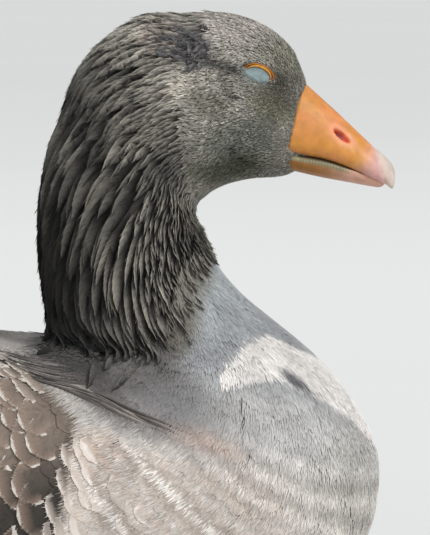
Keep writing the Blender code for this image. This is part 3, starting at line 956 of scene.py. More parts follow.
class Tailor:
    """Cuts feathers to shape on the body."""

    WAIST = 0.4  # how far up a tuft is widest
    TUFT = np.array([[0, 1, 3], [0, 3, 2], [0, 2, 1], [1, 4, 3], [3, 4, 2], [2, 4, 1]])
    NEEDLE = np.array([[0, 3, 2], [2, 3, 1], [1, 3, 0], [0, 2, 1]])
    NO_QUADS = np.zeros((0, 4), int)

    def __init__(self, body: Body, markings: "Markings") -> None:
        """Keeps the body's map and its markings at hand."""
        self.body = body
        self.markings = markings

    @staticmethod
    def breadth_along(cut: Cut, along: float) -> float:
        """The half breadth at a share of the length, as a share of the widest."""
        rise = math.sin(0.5 * math.pi * min(along / cut.widest, 1))
        swell = cut.root_share + (1 - cut.root_share) * rise
        narrow = min(max((along - cut.widest) / (1 - cut.widest), 0), 1)
        return swell * (1 - cut.taper * narrow**1.7)

    def vanes(self, cut: Cut, dye: Dye, roots: Roots, seed: int) -> Sheaf:
        """Feathers that follow the body's surface.

        Args:
            cut: Their shape.
            dye: Their colouring.
            roots: Where they grow.
            seed: Which small differences to draw.
        Returns:
            The feathers.
        """
        body, draw, count = self.body, np.random.default_rng(seed), len(roots)
        uneven = 1 + cut.unevenness * np.clip(draw.normal(size=(2, count)), -2, 2)
        length = cut.length * np.clip(roots.stretch, 0.75, 1.35) * uneven[0]
        half = 0.5 * cut.breadth * np.clip(roots.spread, 0.75, 1.35) * uneven[1]
        belly = roots.bellywards()
        astray = np.radians(cut.twist * draw.normal(size=count) + cut.turn * belly)[:, None]
        ring, spoke = roots.ring.copy(), roots.spoke.copy()
        teeth = draw.normal(size=(count, cut.columns + 1)) * 0.5
        teeth += np.where(np.arange(cut.columns + 1) % 2, -0.6, 0.6)
        ragged = draw.normal(size=(count, cut.rows + 1, 2)) * 0.4
        ragged += np.where(np.arange(cut.rows + 1) % 2, -0.6, 0.6)[None, :, None]
        corners, rims, spots = [], [], []
        for row, share in enumerate(np.linspace(0, 1, cut.rows + 1)):
            footing = Footing(body, ring, spoke, astray)
            wide = half * self.breadth_along(cut, share)
            rise = cut.lift * share**2 - cut.depth * (1 - share) ** 1.2
            relief = eased(share, -0.1, 0.35) * (1 - 0.55 * eased(share, 0.86, 1.0))
            for column, b in enumerate(np.linspace(-1, 1, cut.columns + 1)):
                back = -length * cut.tip * abs(b) ** cut.tip_power * share**3
                back += cut.fray * teeth[:, column] * (share > 0.99)
                out = b * wide
                if column in (0, cut.columns):
                    fray = cut.fray * 0.7 * ragged[:, row, int(column > 0)]
                    out = out + fray * b * (share > 0.25)
                r, s = footing.shifted(footing.side * out[:, None] + footing.ahead * back[:, None])
                height = rise + cut.camber * (1 - b * b) * math.sin(0.35 + 2.3 * share)
                proud = np.clip((1 - b * belly) / 2, 0, 1) ** 1.6
                height = height + cut.roll * (proud - 0.35) * relief
                corners.append(body.place(r, s) + body.normal(r, s) * height[:, None])
                spots.append((r, s))
                to_side = wide * (1 - abs(b)) * dye.side_rim + dye.side_rim - 1.4
                rims.append(np.minimum(length * (1 - share) - back, to_side))
            if row < cut.rows:
                ring, spoke = footing.shifted(footing.ahead * (length / cut.rows)[:, None])
        points, rim = np.stack(corners, axis=1), np.stack(rims, axis=1)
        r, s = (np.stack([spot[axis] for spot in spots], axis=1).ravel() for axis in (0, 1))
        if dye.rooted:
            r, s = (np.repeat(start, points.shape[1]) for start in (roots.ring, roots.spoke))
        shade = self.markings.shade(body, r, s) if dye.shade is None else linear(dye.shade)
        shade = np.broadcast_to(shade, (points.size // 3, 3)).reshape(points.shape)
        return self._vaned(cut, dye, Batch(roots, half, length, draw), points, rim, belly, shade)

    def _vaned(
        self, cut: Cut, dye: Dye, batch: Batch, points: Array, rim: Array, belly: Array,
        shade: Array,
    ) -> Sheaf:
        """Joins rows of corners into closed feathers and colours them.

        Args:
            cut: The shape.
            dye: The colouring.
            batch: The feathers.
            points: Corners, (feathers, rows x columns, 3).
            rim: Each corner's distance from the feather's free edge.
            belly: 1 where rising columns head for the belly, or -1.
            shade: Each corner's shade before its own colouring.
        Returns:
            The feathers.
        """
        rows, columns = cut.rows, cut.columns
        number = np.arange((rows + 1) * (columns + 1)).reshape(rows + 1, columns + 1)
        top = np.stack(
            [number[:-1, :-1], number[1:, :-1], number[1:, 1:], number[:-1, 1:]], axis=-1
        ).reshape(-1, 4)
        under = np.stack([number[:-1, 0], number[:-1, -1], number[1:, -1], number[1:, 0]], axis=-1)
        fans = []
        for row, way in ((0, 1), (rows, -1)):
            for column in range(1, columns):
                fan = [number[row, 0], number[row, column], number[row, column + 1]]
                fans.append(fan[::way])
        steps = np.repeat(np.linspace(0, 1, rows + 1), columns + 1)
        across = np.tile(np.linspace(-1, 1, columns + 1), rows + 1)
        jitter = dye.shade_jitter * batch.draw.normal(size=(len(points), 1, 1))
        toward = across[None, :] * belly[:, None]
        # Darker roots and low edges are painted shade between the feathers, the roots partly also
        # their darker bases; the gain on the raised edge is a painted highlight.
        level = dye.root + (1 - dye.root) * eased(steps, 0.25, 0.7)[None, :]
        level = level * (1 + (dye.crest_highlight - 1) * eased(-toward, 0.4, 0.95))
        level = level * (1 + (dye.valley_shade - 1) * eased(toward, -0.55, 0.2))
        tint = shade * dye.gain * np.exp(jitter) * level[..., None]
        faces = (np.concatenate([top, under]), np.array(fans))
        return batch.sheaf(self.body, points, faces, tint, rim, across, steps)

    def tufts(self, cut: Cut, dye: Dye, roots: Roots, seed: int) -> Sheaf:
        """Small three-sided tufts that follow the body's surface.

        Args:
            cut: Their shape.
            dye: Their colouring.
            roots: Where they grow.
            seed: Which small differences to draw.
        Returns:
            The tufts.
        """
        body, draw, count = self.body, np.random.default_rng(seed), len(roots)
        uneven = 1 + cut.unevenness * np.clip(draw.normal(size=(2, count)), -2, 2)
        fine = self.markings.fineness(roots)
        length, half = cut.length * uneven[0] * fine, 0.5 * cut.breadth * uneven[1] * fine**0.7
        astray = np.radians(cut.twist) * draw.normal(size=count)[:, None]
        ring, spoke = roots.ring.copy(), roots.spoke.copy()
        corners = []
        for share, step in ((0.0, self.WAIST), (self.WAIST, 1 - self.WAIST), (1.0, 0.0)):
            footing = Footing(body, ring, spoke, astray, level=False)
            height = -cut.depth * (1 - share) ** 1.6 + cut.lift * share
            middle = body.place(ring, spoke) + footing.normal * height
            if share == self.WAIST:
                wide = footing.side * half[:, None]
                corners += [middle - wide, middle + wide, middle + footing.normal * cut.camber]
            else:
                corners.append(middle)
            ring, spoke = footing.shifted(footing.ahead * (length * step)[:, None])
        steps = np.array([0, self.WAIST, self.WAIST, self.WAIST, 1.0])
        across = np.array([0, -1, 1, 0, 0.0])
        shade = self.markings.shade(body, roots.ring, roots.spoke)
        if dye.shade is not None:
            shade = linear(dye.shade) + 0 * shade
        shade = shade * dye.gain * np.exp(dye.shade_jitter * draw.normal(size=(count, 1)))
        # Darker roots and sides are painted shade between the tufts, the roots partly also their
        # darker bases.
        level = (dye.root + (1 - dye.root) * steps) * np.where(across == 0, 1.0, dye.valley_shade)
        points, tint = np.stack(corners, axis=1), shade[:, None, :] * level[None, :, None]
        batch = Batch(roots, half, length, draw)
        return self._pointed(batch, points, tint, self.TUFT, across, steps)

    def _pointed(
        self, batch: Batch, points: Array, tint: Array, threes: Array, across: Array, steps: Array
    ) -> Sheaf:
        """Joins small pointed pieces, which have triangles only and no rim."""
        rim = np.full(points.shape[:2], NO_RIM)
        faces = (self.NO_QUADS, threes)
        return batch.sheaf(self.body, points, faces, tint, rim, across, steps)

    def barbs(self, cut: Cut, barb: Barb, roots: Roots, sheaf: Sheaf, seed: int) -> Sheaf:
        """Fine pointed barbs that lie over feathers already cut, and fringe them.

        Args:
            cut: The feathers' shape.
            barb: How the barbs lie.
            roots: Where the feathers grow.
            sheaf: The feathers.
            seed: Which small differences to draw.
        Returns:
            The barbs.
        """
        draw = np.random.default_rng(seed)
        shape = (len(roots), cut.rows + 1, cut.columns + 1, 3)
        feather = np.repeat(np.arange(len(roots)), barb.each)
        count = len(feather)
        share = draw.uniform(barb.start, 0.99, count)
        off = draw.uniform(-0.97, 0.97, count)
        fringe = draw.random(count) < barb.fringe
        if barb.crested:
            off = np.where(fringe, -np.abs(off), off * 0.5 - 0.47)
            off = off * roots.bellywards()[feather]
        tip = fringe & (draw.random(count) < barb.tips)
        off = np.where(fringe & ~tip, np.sign(off) * draw.uniform(0.8, 0.98, count), off)
        share = np.where(tip, draw.uniform(0.93, 0.99, count), share)
        u, v = share * cut.rows, (off + 1) / 2 * cut.columns
        row, column = np.floor(u).astype(int), np.floor(v).astype(int)
        pu, pv = (u - row)[:, None], (v - column)[:, None]

        def between(grid: Array) -> tuple[Array, Array, Array]:
            """Values at the barbs' roots, and how they change along and across."""
            a, b = grid[feather, row, column], grid[feather, row, column + 1]
            c, d = grid[feather, row + 1, column], grid[feather, row + 1, column + 1]
            near, far = a + (b - a) * pv, c + (d - c) * pv
            return near + (far - near) * pu, far - near, (b - a) * (1 - pu) + (d - c) * pu

        place, along, over = between(sheaf.corners.reshape(shape))
        tint = between(sheaf.tint.reshape(shape))[0]
        along = unit(along)
        out = unit(np.cross(along, over))
        sweep = barb.sweep * np.clip(off * 2.5, -1, 1) + 0.12 * draw.normal(size=count)
        way = along * np.cos(sweep)[:, None] + np.cross(out, along) * np.sin(sweep)[:, None]
        uneven = np.exp(0.22 * draw.normal(size=(2, count)))
        length = barb.length * uneven[0] * np.where(fringe, barb.reach, 1.0)
        half = 0.5 * barb.breadth * uneven[1]
        lift = barb.lift * draw.uniform(0.2, 1.0, (count, 1))
        side, sunk = np.cross(out, way) * half[:, None], out * 0.12
        end = place + way * length[:, None] + out * lift
        ridge = place + out * 0.45 * half[:, None]
        points = np.stack([place - side - sunk, place + side - sunk, ridge, end], axis=1)
        if barb.pale is not None:
            pale = linear(barb.pale) * np.exp(0.05 * draw.normal(size=(count, 1)))
            tint = np.where(fringe[:, None], pale, tint)
        tint = tint * np.exp(barb.jitter * draw.normal(size=(count, 1)))
        tint = tint[:, None] * np.array([0.8, 0.8, 1.0, 1.2])[None, :, None]
        across, steps = np.array([-1, 1, 0, 0.0]), np.array([0, 0, 0, 1.0])
        batch = Batch(roots.kept(feather), half, length, draw)
        return self._pointed(batch, points, tint, self.NEEDLE, across, steps)

    def blades(self, cut: Cut, dye: Dye, spines: Array, flats: Array, seed: int) -> Sheaf:
        """Long stiff feathers along spines of their own, off the body's map.

        Args:
            cut: Their shape.
            dye: Their colouring, with a shade of its own.
            spines: Points from root to tip, (feathers, rows + 1, 3).
            flats: The direction each blade's upper face looks, (feathers, 3).
            seed: Which small differences to draw.
        Returns:
            The blades.
        """
        draw, count = np.random.default_rng(seed), len(spines)
        length = np.linalg.norm(np.diff(spines, axis=1), axis=-1).sum(axis=1)
        half = np.full(count, 0.5 * cut.breadth)
        ahead = unit(np.gradient(spines, axis=1))
        side = unit(np.cross(flats[:, None, :], ahead))
        over = np.cross(ahead, side)
        teeth = draw.normal(size=(count, cut.columns + 1)) * 0.5
        corners, rims = [], []
        for row, share in enumerate(np.linspace(0, 1, cut.rows + 1)):
            wide = half * self.breadth_along(cut, share)
            for column, b in enumerate(np.linspace(-1, 1, cut.columns + 1)):
                back = -length * cut.tip * abs(b) ** cut.tip_power * share**3
                back = back + cut.fray * teeth[:, column] * (share > 0.99)
                height = cut.camber * (1 - b * b) * math.sin(0.5 + 2.0 * share)
                out, on = (b * wide)[:, None], back[:, None]
                corners.append(
                    spines[:, row] + side[:, row] * out + ahead[:, row] * on + over[:, row] * height
                )
                to_side = wide * (1 - abs(b)) * dye.side_rim
                rims.append(np.minimum(length * (1 - share) - back, to_side))
        rings = np.interp(spines[:, 0, 0], [-230, 118], [len(self.body.points) - 1, 190])
        right = spines[:, 0, 1] < 0
        spokes = np.where(right, self.body.around - 15.0, 15.0)
        ones = np.ones(count)
        roots = Roots(rings, spokes, spines[:, 0], ones * 20, ones * 0.2, ones, ones)
        points, rim = np.stack(corners, axis=1), np.stack(rims, axis=1)
        shade = np.broadcast_to(linear(dye.shade), points.shape)
        batch, belly = Batch(roots, half, length, draw), np.where(right, 1.0, -1.0)
        return self._vaned(cut, dye, batch, points, rim, belly, shade)


# ---------------------------------------------------------------- markings


@dataclass(frozen=True)
class Blot:
    """A soft-edged patch of one shade, an ellipse seen from the side.

    Attributes:
        x: Its middle, forward.
        z: Its middle, upward.
        wide: Half its length.
        high: Half its height.
        lean: How many degrees its long axis rises towards the bill.
        shade: Its shade.
        soft: How much of it is a soft border.
        strength: How much of what lies under it it covers.
    """

    x: float
    z: float
    wide: float
    high: float
    lean: float
    shade: tuple[float, float, float]
    soft: float = 0.6
    strength: float = 1.0

    def cover(self, x: Array, z: Array) -> Array:
        """How much of each place the blot covers."""
        u, v = turned(x - self.x, z - self.z, self.lean)
        away = np.hypot(u / self.wide, v / self.high)
        return self.strength * (1 - eased(away, 1 - self.soft, 1 + self.soft * 0.5))


def wing_front(x: Array, z: Array) -> Array:
    """How far inside the folded wing's front and lower edge each place lies, in millimetres."""
    edge = ((30, 60, 75, 90, 103, 112, 122, 133, 144), (104, 111, 114, 115, 118, 119, 108, 99, 88))
    low = np.interp(x, (-130, -100, 0, 90, 108), (60, 52, 37, 27, 23))
    return np.minimum(np.interp(z, *edge) - x, 1.2 * (z - low))


@dataclass
class Markings:
    """The bird's shades over its whole body, shared by skin and plumage, with painted shade and
    painted light at some places.
    """

    along_neck: tuple = (
        (0, (146, 143, 133)),
        (3, (164, 159, 150)),
        (5, (160, 155, 146)),
        (6.5, (148, 143, 134)),
        (9, (134, 130, 121)),
        (13, (130, 126, 117)),
        (17, (124, 120, 112)),
    )
    along_body: tuple = (
        (12, (178, 185, 188)),
        (14.6, (164, 168, 171)),
        (15.8, (160, 162, 164)),
        (16.8, (186, 186, 185)),
        (17.8, (200, 198, 195)),
        (19, (206, 200, 194)),
        (20.5, (200, 193, 186)),
        (22, (180, 172, 164)),
        (25, (232, 230, 227)),
    )
    # how much darker the back of the neck is: partly its darker feathers, partly painted shade on
    # the side that faces away from the light
    hind_dark_and_shade: float = 0.72
    mantle: tuple = (148, 139, 131)
    wing: tuple = (118, 106, 96)
    wing_low: tuple = (58, 53, 49)
    line_step: float = 9.0
    line_gap: tuple = (186, 170, 158)
    line_pale: tuple = (225, 219, 213)
    belly: tuple = (226, 223, 218)
    bar_step: float = 6.6
    pale_patch: tuple = (232, 228, 224)
    pale_outline: tuple = (
        (208, 154.5),
        (197.5, 148.5),
        (189, 137.5),
        (186, 133),
        (188.5, 126),
        (199, 129),
        (215, 132),
        (228, 126),
        (238, 121.5),
        (252, 112),
        (264, 99),
        (285, 110),
        (260, 140),
        (232.5, 143.5),
        (220.5, 149),
    )
    blots: tuple = (
        Blot(196, 305, 20, 10, 0, (182, 175, 167)),
        Blot(221, 288, 14, 10, -50, (140, 138, 124)),
        Blot(214, 266, 13, 9, -30, (130, 128, 110)),
        # painted shade under the brow, in front of the eye
        Blot(216.5, 278, 8, 5, -30, (84, 82, 68), 0.8, 0.8),
        Blot(198, 249, 22, 14, 10, (118, 119, 110)),
        Blot(163, 276, 19, 11, -25, (176, 169, 158), 0.8),
        Blot(184, 268, 12, 8, -20, (128, 124, 113)),
        # painted shade under the jaw
        Blot(193, 236, 22, 7, 8, (72, 76, 58), 0.8, 0.85),
        Blot(175, 297, 11, 9, -30, (86, 85, 86), 0.5, 0.9),
        Blot(157, 301, 12, 10, 10, (160, 149, 140), 0.6, 0.9),
        Blot(150, 133, 30, 16, -20, (112, 109, 108)),
        # painted shade under the head, over the upper throat
        Blot(156, 233, 20, 12, 30, (78, 77, 72), 0.8, 0.8),
        Blot(86, 148, 20, 11, -20, (170, 164, 158), 0.5, 0.95),
        Blot(114, 137, 26, 10, -30, (58, 55, 52), 0.6, 0.95),
        Blot(130, 123, 22, 8, -38, (92, 88, 86), 0.6, 0.9),
        Blot(158, 109, 36, 9, -12, (126, 122, 121), 0.7, 0.85),
        Blot(176, 98, 34, 7, -14, (162, 154, 149), 0.8, 0.6),
        Blot(172, 118, 26, 12, -15, (126, 125, 126), 0.7, 0.8),
        Blot(205, 110, 26, 14, -10, (172, 169, 167), 0.8, 0.6),
        Blot(126, 92, 14, 16, -22, (204, 180, 160), 0.8, 0.7),
        Blot(182, 100, 22, 6, -24, (200, 172, 156), 0.8, 0.5),
        # painted shade where the breast turns down towards the belly
        Blot(252, 84, 16, 30, 0, (182, 180, 174), 0.8, 0.7),
    )
    spot: Blot = Blot(223.5, 131, 9.5, 2.6, -38, (84, 84, 88), 0.8, 0.9)

    def shade(self, body: Body, ring: Array, spoke: Array) -> Array:
        """The shade of the plumage at places of the body's map, in linear light.

        Args:
            body: The map.
            ring: Fractional rings.
            spoke: Fractional spokes.
        Returns:
            One row of red, green and blue for each place.
        """
        points = body.place(ring, spoke)
        x, z = seen(points)
        turn, guide = body.turn(spoke), body.guide_at(ring)
        base, neck = self._graded(self.along_body, guide), self._graded(self.along_neck, guide)
        past = eased(guide - neck_end(turn), -0.5, 0.3)[:, None]
        # The back of the neck is darker, partly its own colour and partly painted shade.
        hind = (1 - eased(turn, 0.20, 0.68)) * eased(guide, 7.5, 10.6)
        base = neck * (1 - self.hind_dark_and_shade * hind[:, None]) * (1 - past) + base * past
        near = eased(guide, 14.6, 15.6) * (1 - eased(turn, 0.2, 0.34))
        over = (1 - eased(turn, 0.30, 0.55)) * np.maximum(eased(guide, 16.0, 18.5), near)
        base = blended(base, self.mantle, over * (1 - eased(guide, 23.2, 24.2)))
        base = blended(base, self.belly, eased(turn, 0.70, 0.92) * eased(guide, 17.0, 20.0))
        for blot in self.blots:
            base = blended(base, blot.shade, blot.cover(x, z))
        # Creases: painted shade in the face's furrows and painted light on its swellings.
        sides = eased(np.abs(points[:, 1]), 2.0, 8.0) * (guide < 9)
        for crease in CREASES:
            base = base * (1 - crease.dark * crease.nearness(x, z) * sides)[:, None]
        wing = eased(wing_front(x, z), 0.0, 5.0) * eased(turn, 0.2, 0.3) * (guide > 16)
        dusk = 1 - eased(z - 0.35 * (x - 92.0), 64.0, 104.0)
        base = blended(base, blended(np.array(self.wing), self.wing_low, dusk), wing)
        line, strength = self.lines(body, ring, spoke, points)
        strength = strength * (1 - wing)
        base = blended(base, self.line_gap, 0.6 * strength)
        base = blended(base, self.line_pale, line * strength)
        base = blended(base, self.pale_patch, self._inside(x, z))
        bars = np.sin(2 * math.pi * body.sample(body.rows, ring, spoke) / self.bar_step)
        barred = eased(guide, 17.2, 18.4) * eased(turn, 0.4, 0.6) * (1 - eased(guide, 21, 23))
        base = base * (1 + 0.09 * (bars * barred)[:, None])
        base = blended(base, self.spot.shade, self.spot.cover(x, z))
        base = base * (1 + 0.05 * patchy(points, 16.0, 5)[:, None])
        return linear(np.clip(base, *SHADE_ENDS))

    def lines(self, body: Body, ring: Array, spoke: Array, points: Array) -> tuple[Array, Array]:
        """The pale lines where one row of flank feathers ends over the next.

        Args:
            body: The map.
            ring: Fractional rings.
            spoke: Fractional spokes.
            points: The places.
        Returns:
            1 on a line, and how clear the lines are there.
        """
        turn, guide = body.turn(spoke), body.guide_at(ring)
        rows = body.sample(body.rows, ring, spoke) / self.line_step
        share = np.mod(rows + 0.16 * patchy(points, 18.0, 21) + 0.05 * patchy(points, 5.0, 22), 1)
        line = eased(share, 0.56, 0.72) * (1 - eased(share, 0.90, 1.0))
        x, z = seen(points)
        clear = eased(guide, 17.6, 18.6) * eased(turn, 0.42, 0.52) * (1 - eased(guide, 21, 23))
        top = 106.0 - 0.28 * np.clip(x - 125.0, 0, 60)
        clear = clear * (1 - 0.75 * eased(x, 190.0, 235.0)) * (1 - eased(z, top - 8, top + 4))
        return line, clear

    @staticmethod
    def _graded(stations: Sequence[tuple], guide: Array) -> Array:
        """The shades between stations along the body."""
        places = [place for place, _ in stations]
        table = np.array([shade for _, shade in stations], float)
        return np.stack([np.interp(guide, places, channel) for channel in table.T], axis=-1)

    def _inside(self, x: Array, z: Array) -> Array:
        """Which places lie inside the pale patch's outline."""
        ring = np.array(self.pale_outline)
        inside = np.zeros(len(x), bool)
        for (x0, z0), (x1, z1) in zip(ring, np.roll(ring, -1, axis=0)):
            crosses = (z0 > z) != (z1 > z)
            reach = x0 + (z - z0) * (x1 - x0) / np.where(z1 == z0, 1e-9, z1 - z0)
            inside ^= crosses & (x < reach)
        return inside.astype(float)

    def fineness(self, roots: Roots) -> Array:
        """How long a tuft grows at each root, as a share: least before the eye."""
        away = np.hypot(roots.at[:, 0] - 226.0, roots.at[:, 2] - 262.0)
        face = 0.5 + 0.4 * eased(away, 8.0, 50.0) + 0.5 * eased(away, 50.0, 82.0)
        return np.where(roots.guide > 10, 1.0, face)


# ---------------------------------------------------------------- finishes


class Recipe:
    """Shader nodes joined one by one in a tree."""

    def __init__(self, tree: bpy.types.NodeTree) -> None:
        """Takes up a tree."""
        self.tree = tree

    def node(self, kind: str, feeds: dict | None = None, **settings: object) -> bpy.types.Node:
        """A new shader node.

        Args:
            kind: Its type.
            feeds: What its inputs are given, by name or number: values or sockets.
            settings: Its properties.
        Returns:
            The node.
        """
        node = self.tree.nodes.new(f"ShaderNode{kind}")
        for name, value in settings.items():
            setattr(node, name, value)
        for name, value in (feeds or {}).items():
            self.feed(node.inputs[name], value)
        return node

    def feed(self, socket: bpy.types.NodeSocket, value: object) -> None:
        """Gives a socket a value, or joins another socket to it."""
        if isinstance(value, bpy.types.NodeSocket):
            self.tree.links.new(value, socket)
        else:
            socket.default_value = value

    def noise(self, scale: float, detail: float, place: bpy.types.NodeSocket) -> object:
        """The socket of a noise over places."""
        feeds = {"Scale": scale, "Detail": detail, "Vector": place}
        return self.node("TexNoise", feeds).outputs["Fac"]

    def maths(self, operation: str, *values: object) -> bpy.types.NodeSocket:
        """The outcome of a sum on sockets or numbers."""
        return self.node("Math", dict(enumerate(values)), operation=operation).outputs[0]

    def mapped(self, *values: object) -> bpy.types.NodeSocket:
        """A value brought from one range to another: the value, then both ranges' ends."""
        return self.node("MapRange", dict(enumerate(values))).outputs[0]

    def mixed(self, share: object, first: object, second: object) -> bpy.types.NodeSocket:
        """Two colours mixed by a share."""
        return self.node("Mix", {0: share, 6: first, 7: second}, data_type="RGBA").outputs[2]


class Paint(Recipe):
    """A material written node by node round one shader."""

    def __init__(self, name: str) -> None:
        """Starts a material of a name."""
        self.material = bpy.data.materials.new(name)
        self.material.use_nodes = True
        super().__init__(self.material.node_tree)
        self.tree.nodes.clear()
        self.shader = self.node("BsdfPrincipled")
        self.node("OutputMaterial", {"Surface": self.shader.outputs["BSDF"]})

    def set(self, **values: object) -> None:
        """Gives the shader's own sockets values or sockets, with underscores for spaces."""
        for name, value in values.items():
            self.feed(self.shader.inputs[name.replace("_", " ")], value)

    def tinted(self, level: bpy.types.NodeSocket) -> bpy.types.NodeSocket:
        """The mesh's own shades times a level."""
        tint = self.node("Attribute", attribute_name=TINT).outputs["Color"]
        return self.node("VectorMath", {0: tint, "Scale": level}, operation="SCALE").outputs[0]

    def bump(self, height: bpy.types.NodeSocket, strength: float, distance: float) -> None:
        """Roughens the surface by a height."""
        feeds = {"Strength": strength, "Distance": distance, "Height": height}
        self.set(Normal=self.node("Bump", feeds).outputs["Normal"])


def barb_effect() -> bpy.types.NodeTree:
    """The shared effect of barbs that leave a shaft at an angle: streaks, and the shaft's line."""
    tree = bpy.data.node_groups.new("barbs", "ShaderNodeTree")
    for label, kind in (("Vane", "Vector"), *((name, "Float") for name in BARB_INPUTS)):
        tree.interface.new_socket(label, in_out="INPUT", socket_type=f"NodeSocket{kind}")
    for label in ("Streak", "Shaft Line"):
        tree.interface.new_socket(label, in_out="OUTPUT", socket_type="NodeSocketFloat")
    start, end = (tree.nodes.new(f"NodeGroup{way}put") for way in ("In", "Out"))
    vane, fineness, sweep, shaft = (start.outputs[name] for name in ("Vane", *BARB_INPUTS))
    recipe = Recipe(tree)
    maths = recipe.maths
    split = recipe.node("SeparateXYZ", {0: vane}).outputs
    off = maths("ABSOLUTE", split[0])
    sine, cosine = maths("SINE", sweep), maths("COSINE", sweep)
    between = maths("SUBTRACT", maths("MULTIPLY", off, cosine), maths("MULTIPLY", split[1], sine))
    onward = maths("ADD", maths("MULTIPLY", off, sine), maths("MULTIPLY", split[1], cosine))
    slow = maths("MULTIPLY", fineness, 0.12)
    place = {0: maths("MULTIPLY", between, fineness), 1: maths("MULTIPLY", onward, slow)}
    feeds = {"Scale": 1.0, "Detail": 2.0, "Roughness": 0.6}
    feeds["Vector"] = recipe.node("CombineXYZ", place).outputs[0]
    noise = recipe.node("TexNoise", feeds, noise_dimensions="2D")
    recipe.feed(end.inputs["Streak"], noise.outputs["Fac"])
    recipe.feed(end.inputs["Shaft Line"], maths("LESS_THAN", off, shaft))
    return tree


@dataclass(frozen=True)
class PlumeFinish:
    """How a coat of feathers looks close to.

    Attributes:
        name: The material's name.
        streak: How strongly the barbs streak the shade.
        fineness: How many barbs lie in a centimetre.
        sweep: The barbs' angle off the shaft, in radians.
        rim: The pale rim's shade.
        rim_width: Its width in millimetres, or 0.
        band: The shade of the band inside the rim.
        band_width: How far in from the edge the band fades out, or 0.
        tooth: How far the barbs carry the rim's border in and out.
        shaft: The shaft's half width, in centimetres.
        shaft_shade: A factor on the shade along the shaft.
        roughness: How dull the plumage is.
        relief: The strength of the barbs' relief.
    """

    name: str
    streak: float = 0.35
    fineness: float = 13.0
    sweep: float = 0.5
    rim: tuple[float, float, float] = (232, 226, 220)
    rim_width: float = 0.0
    band: tuple[float, float, float] = (150, 128, 114)
    band_width: float = 0.0
    tooth: float = 2.0
    shaft: float = 0.0
    shaft_shade: float = 0.6
    roughness: float = 0.74
    relief: float = 0.35

    def material(self, barbs: bpy.types.NodeTree) -> bpy.types.Material:
        """Mixes the finish over the shared effect of barbs."""
        paint = Paint(self.name)
        rim = paint.node("Attribute", attribute_name="rim").outputs["Fac"]
        feeds = {"Vane": paint.node("UVMap", uv_map=VANE_MAP).outputs[0]}
        feeds.update(zip(BARB_INPUTS, (self.fineness, self.sweep, self.shaft)))
        effect = paint.node("Group", feeds, node_tree=barbs)
        streak = effect.outputs["Streak"]
        level = paint.mapped(streak, *SPOTS, 1 - self.streak, 1 + self.streak * 0.6)
        if self.shaft:
            dark = paint.maths("MULTIPLY", effect.outputs["Shaft Line"], self.shaft_shade - 1)
            level = paint.maths("ADD", level, dark)
        colour = paint.tinted(level)
        if self.band_width:
            band = paint.mapped(rim, 0.0, self.band_width, 0.85, 0.0)
            colour = paint.mixed(band, colour, (*linear(self.band), 1))
        if self.rim_width:
            toothed = paint.maths("MULTIPLY_ADD", streak, self.tooth * 2, -self.tooth)
            edge = paint.maths("ADD", rim, toothed)
            border = paint.mapped(edge, self.rim_width - 0.35, self.rim_width + 0.45, 1.0, 0.0)
            colour = paint.mixed(border, colour, (*linear(self.rim), 1))
        paint.set(Base_Color=colour, Roughness=self.roughness, Specular_IOR_Level=0.22)
        paint.set(Sheen_Weight=0.12, Sheen_Roughness=0.5)
        paint.bump(streak, self.relief, 0.0004)
        return paint.material


@dataclass(frozen=True)
class HornFinish:
    """Horn, skin or membrane: the mesh's own shades, mottled, with a soft gloss.

    Attributes:
        name: The material's name.
        roughness: How dull it is.
        mottle: How strongly it is mottled.
        grain: The mottling's size, in spots per metre.
        relief: The relief's strength.
        scales: Whether the relief is scales rather than grain.
        coat: How much of a wet coat lies over it.
        glow: How much light passes through it.
    """

    name: str
    roughness: float = 0.4
    mottle: float = 0.12
    grain: float = 260.0
    relief: float = 0.15
    scales: bool = False
    coat: float = 0.0
    glow: float = 0.0

    def material(self) -> bpy.types.Material:
        """Mixes the finish."""
        paint = Paint(self.name)
        place = paint.node("TexCoord").outputs["Object"]
        noise = paint.noise(self.grain, 4.0, place)
        level = paint.mapped(noise, *SPOTS, 1 - self.mottle, 1 + self.mottle)
        paint.set(Base_Color=paint.tinted(level), Roughness=self.roughness)
        paint.set(Coat_Weight=self.coat, Coat_Roughness=0.12, Specular_IOR_Level=0.3)
        if self.glow:
            paint.set(Subsurface_Weight=self.glow, Subsurface_Scale=0.003)
            paint.set(Subsurface_Radius=(1.0, 0.45, 0.25))
        if self.scales:
            feeds = {"Scale": 420.0, "Vector": place}
            cells = paint.node("TexVoronoi", feeds, feature="DISTANCE_TO_EDGE").outputs["Distance"]
            paint.bump(paint.mapped(cells, 0.0, 0.18, 0.0, 1.0), self.relief, 0.0008)
        else:
            paint.bump(noise, self.relief, 0.0006)
        return paint.material


# ---------------------------------------------------------------- solid pieces


def tube_sheaf(points: Array, tint: Array) -> Sheaf:
    """A closed tube through rings of points, with rounded-off ends.

    Args:
        points: The rings, (rings, around, 3), turning outwards as FormMap's do.
        tint: A shade for each point, or one for all.
    Returns:
        The tube as a sheaf.
    """
    rings, around = points.shape[:2]
    number = np.arange(rings * around).reshape(rings, around)
    after = np.roll(number, -1, axis=1)
    quads = np.stack([number[:-1], after[:-1], after[1:], number[1:]], axis=-1).reshape(-1, 4)
    corners = np.concatenate([points.reshape(-1, 3), points[[0, -1]].mean(axis=1)])
    first, last = (np.full(around, rings * around + end) for end in (0, 1))
    front = np.stack([after[0], number[0], first], axis=-1)
    threes = np.concatenate([front, np.stack([number[-1], after[-1], last], axis=-1)])
    shades = np.broadcast_to(tint, points.shape).reshape(-1, 3)
    shades = np.concatenate([shades, shades[:1], shades[-1:]])
    spoke = np.tile(np.arange(around), rings) / around
    ring = np.repeat(np.arange(rings), around) / (rings - 1)
    bake = np.concatenate([on_unwrap(spoke, ring), [[0.5, 0.01], [0.5, 0.99]]])
    return Sheaf(corners, quads, threes, shades, np.full(len(corners), NO_RIM), bake * 10, bake)


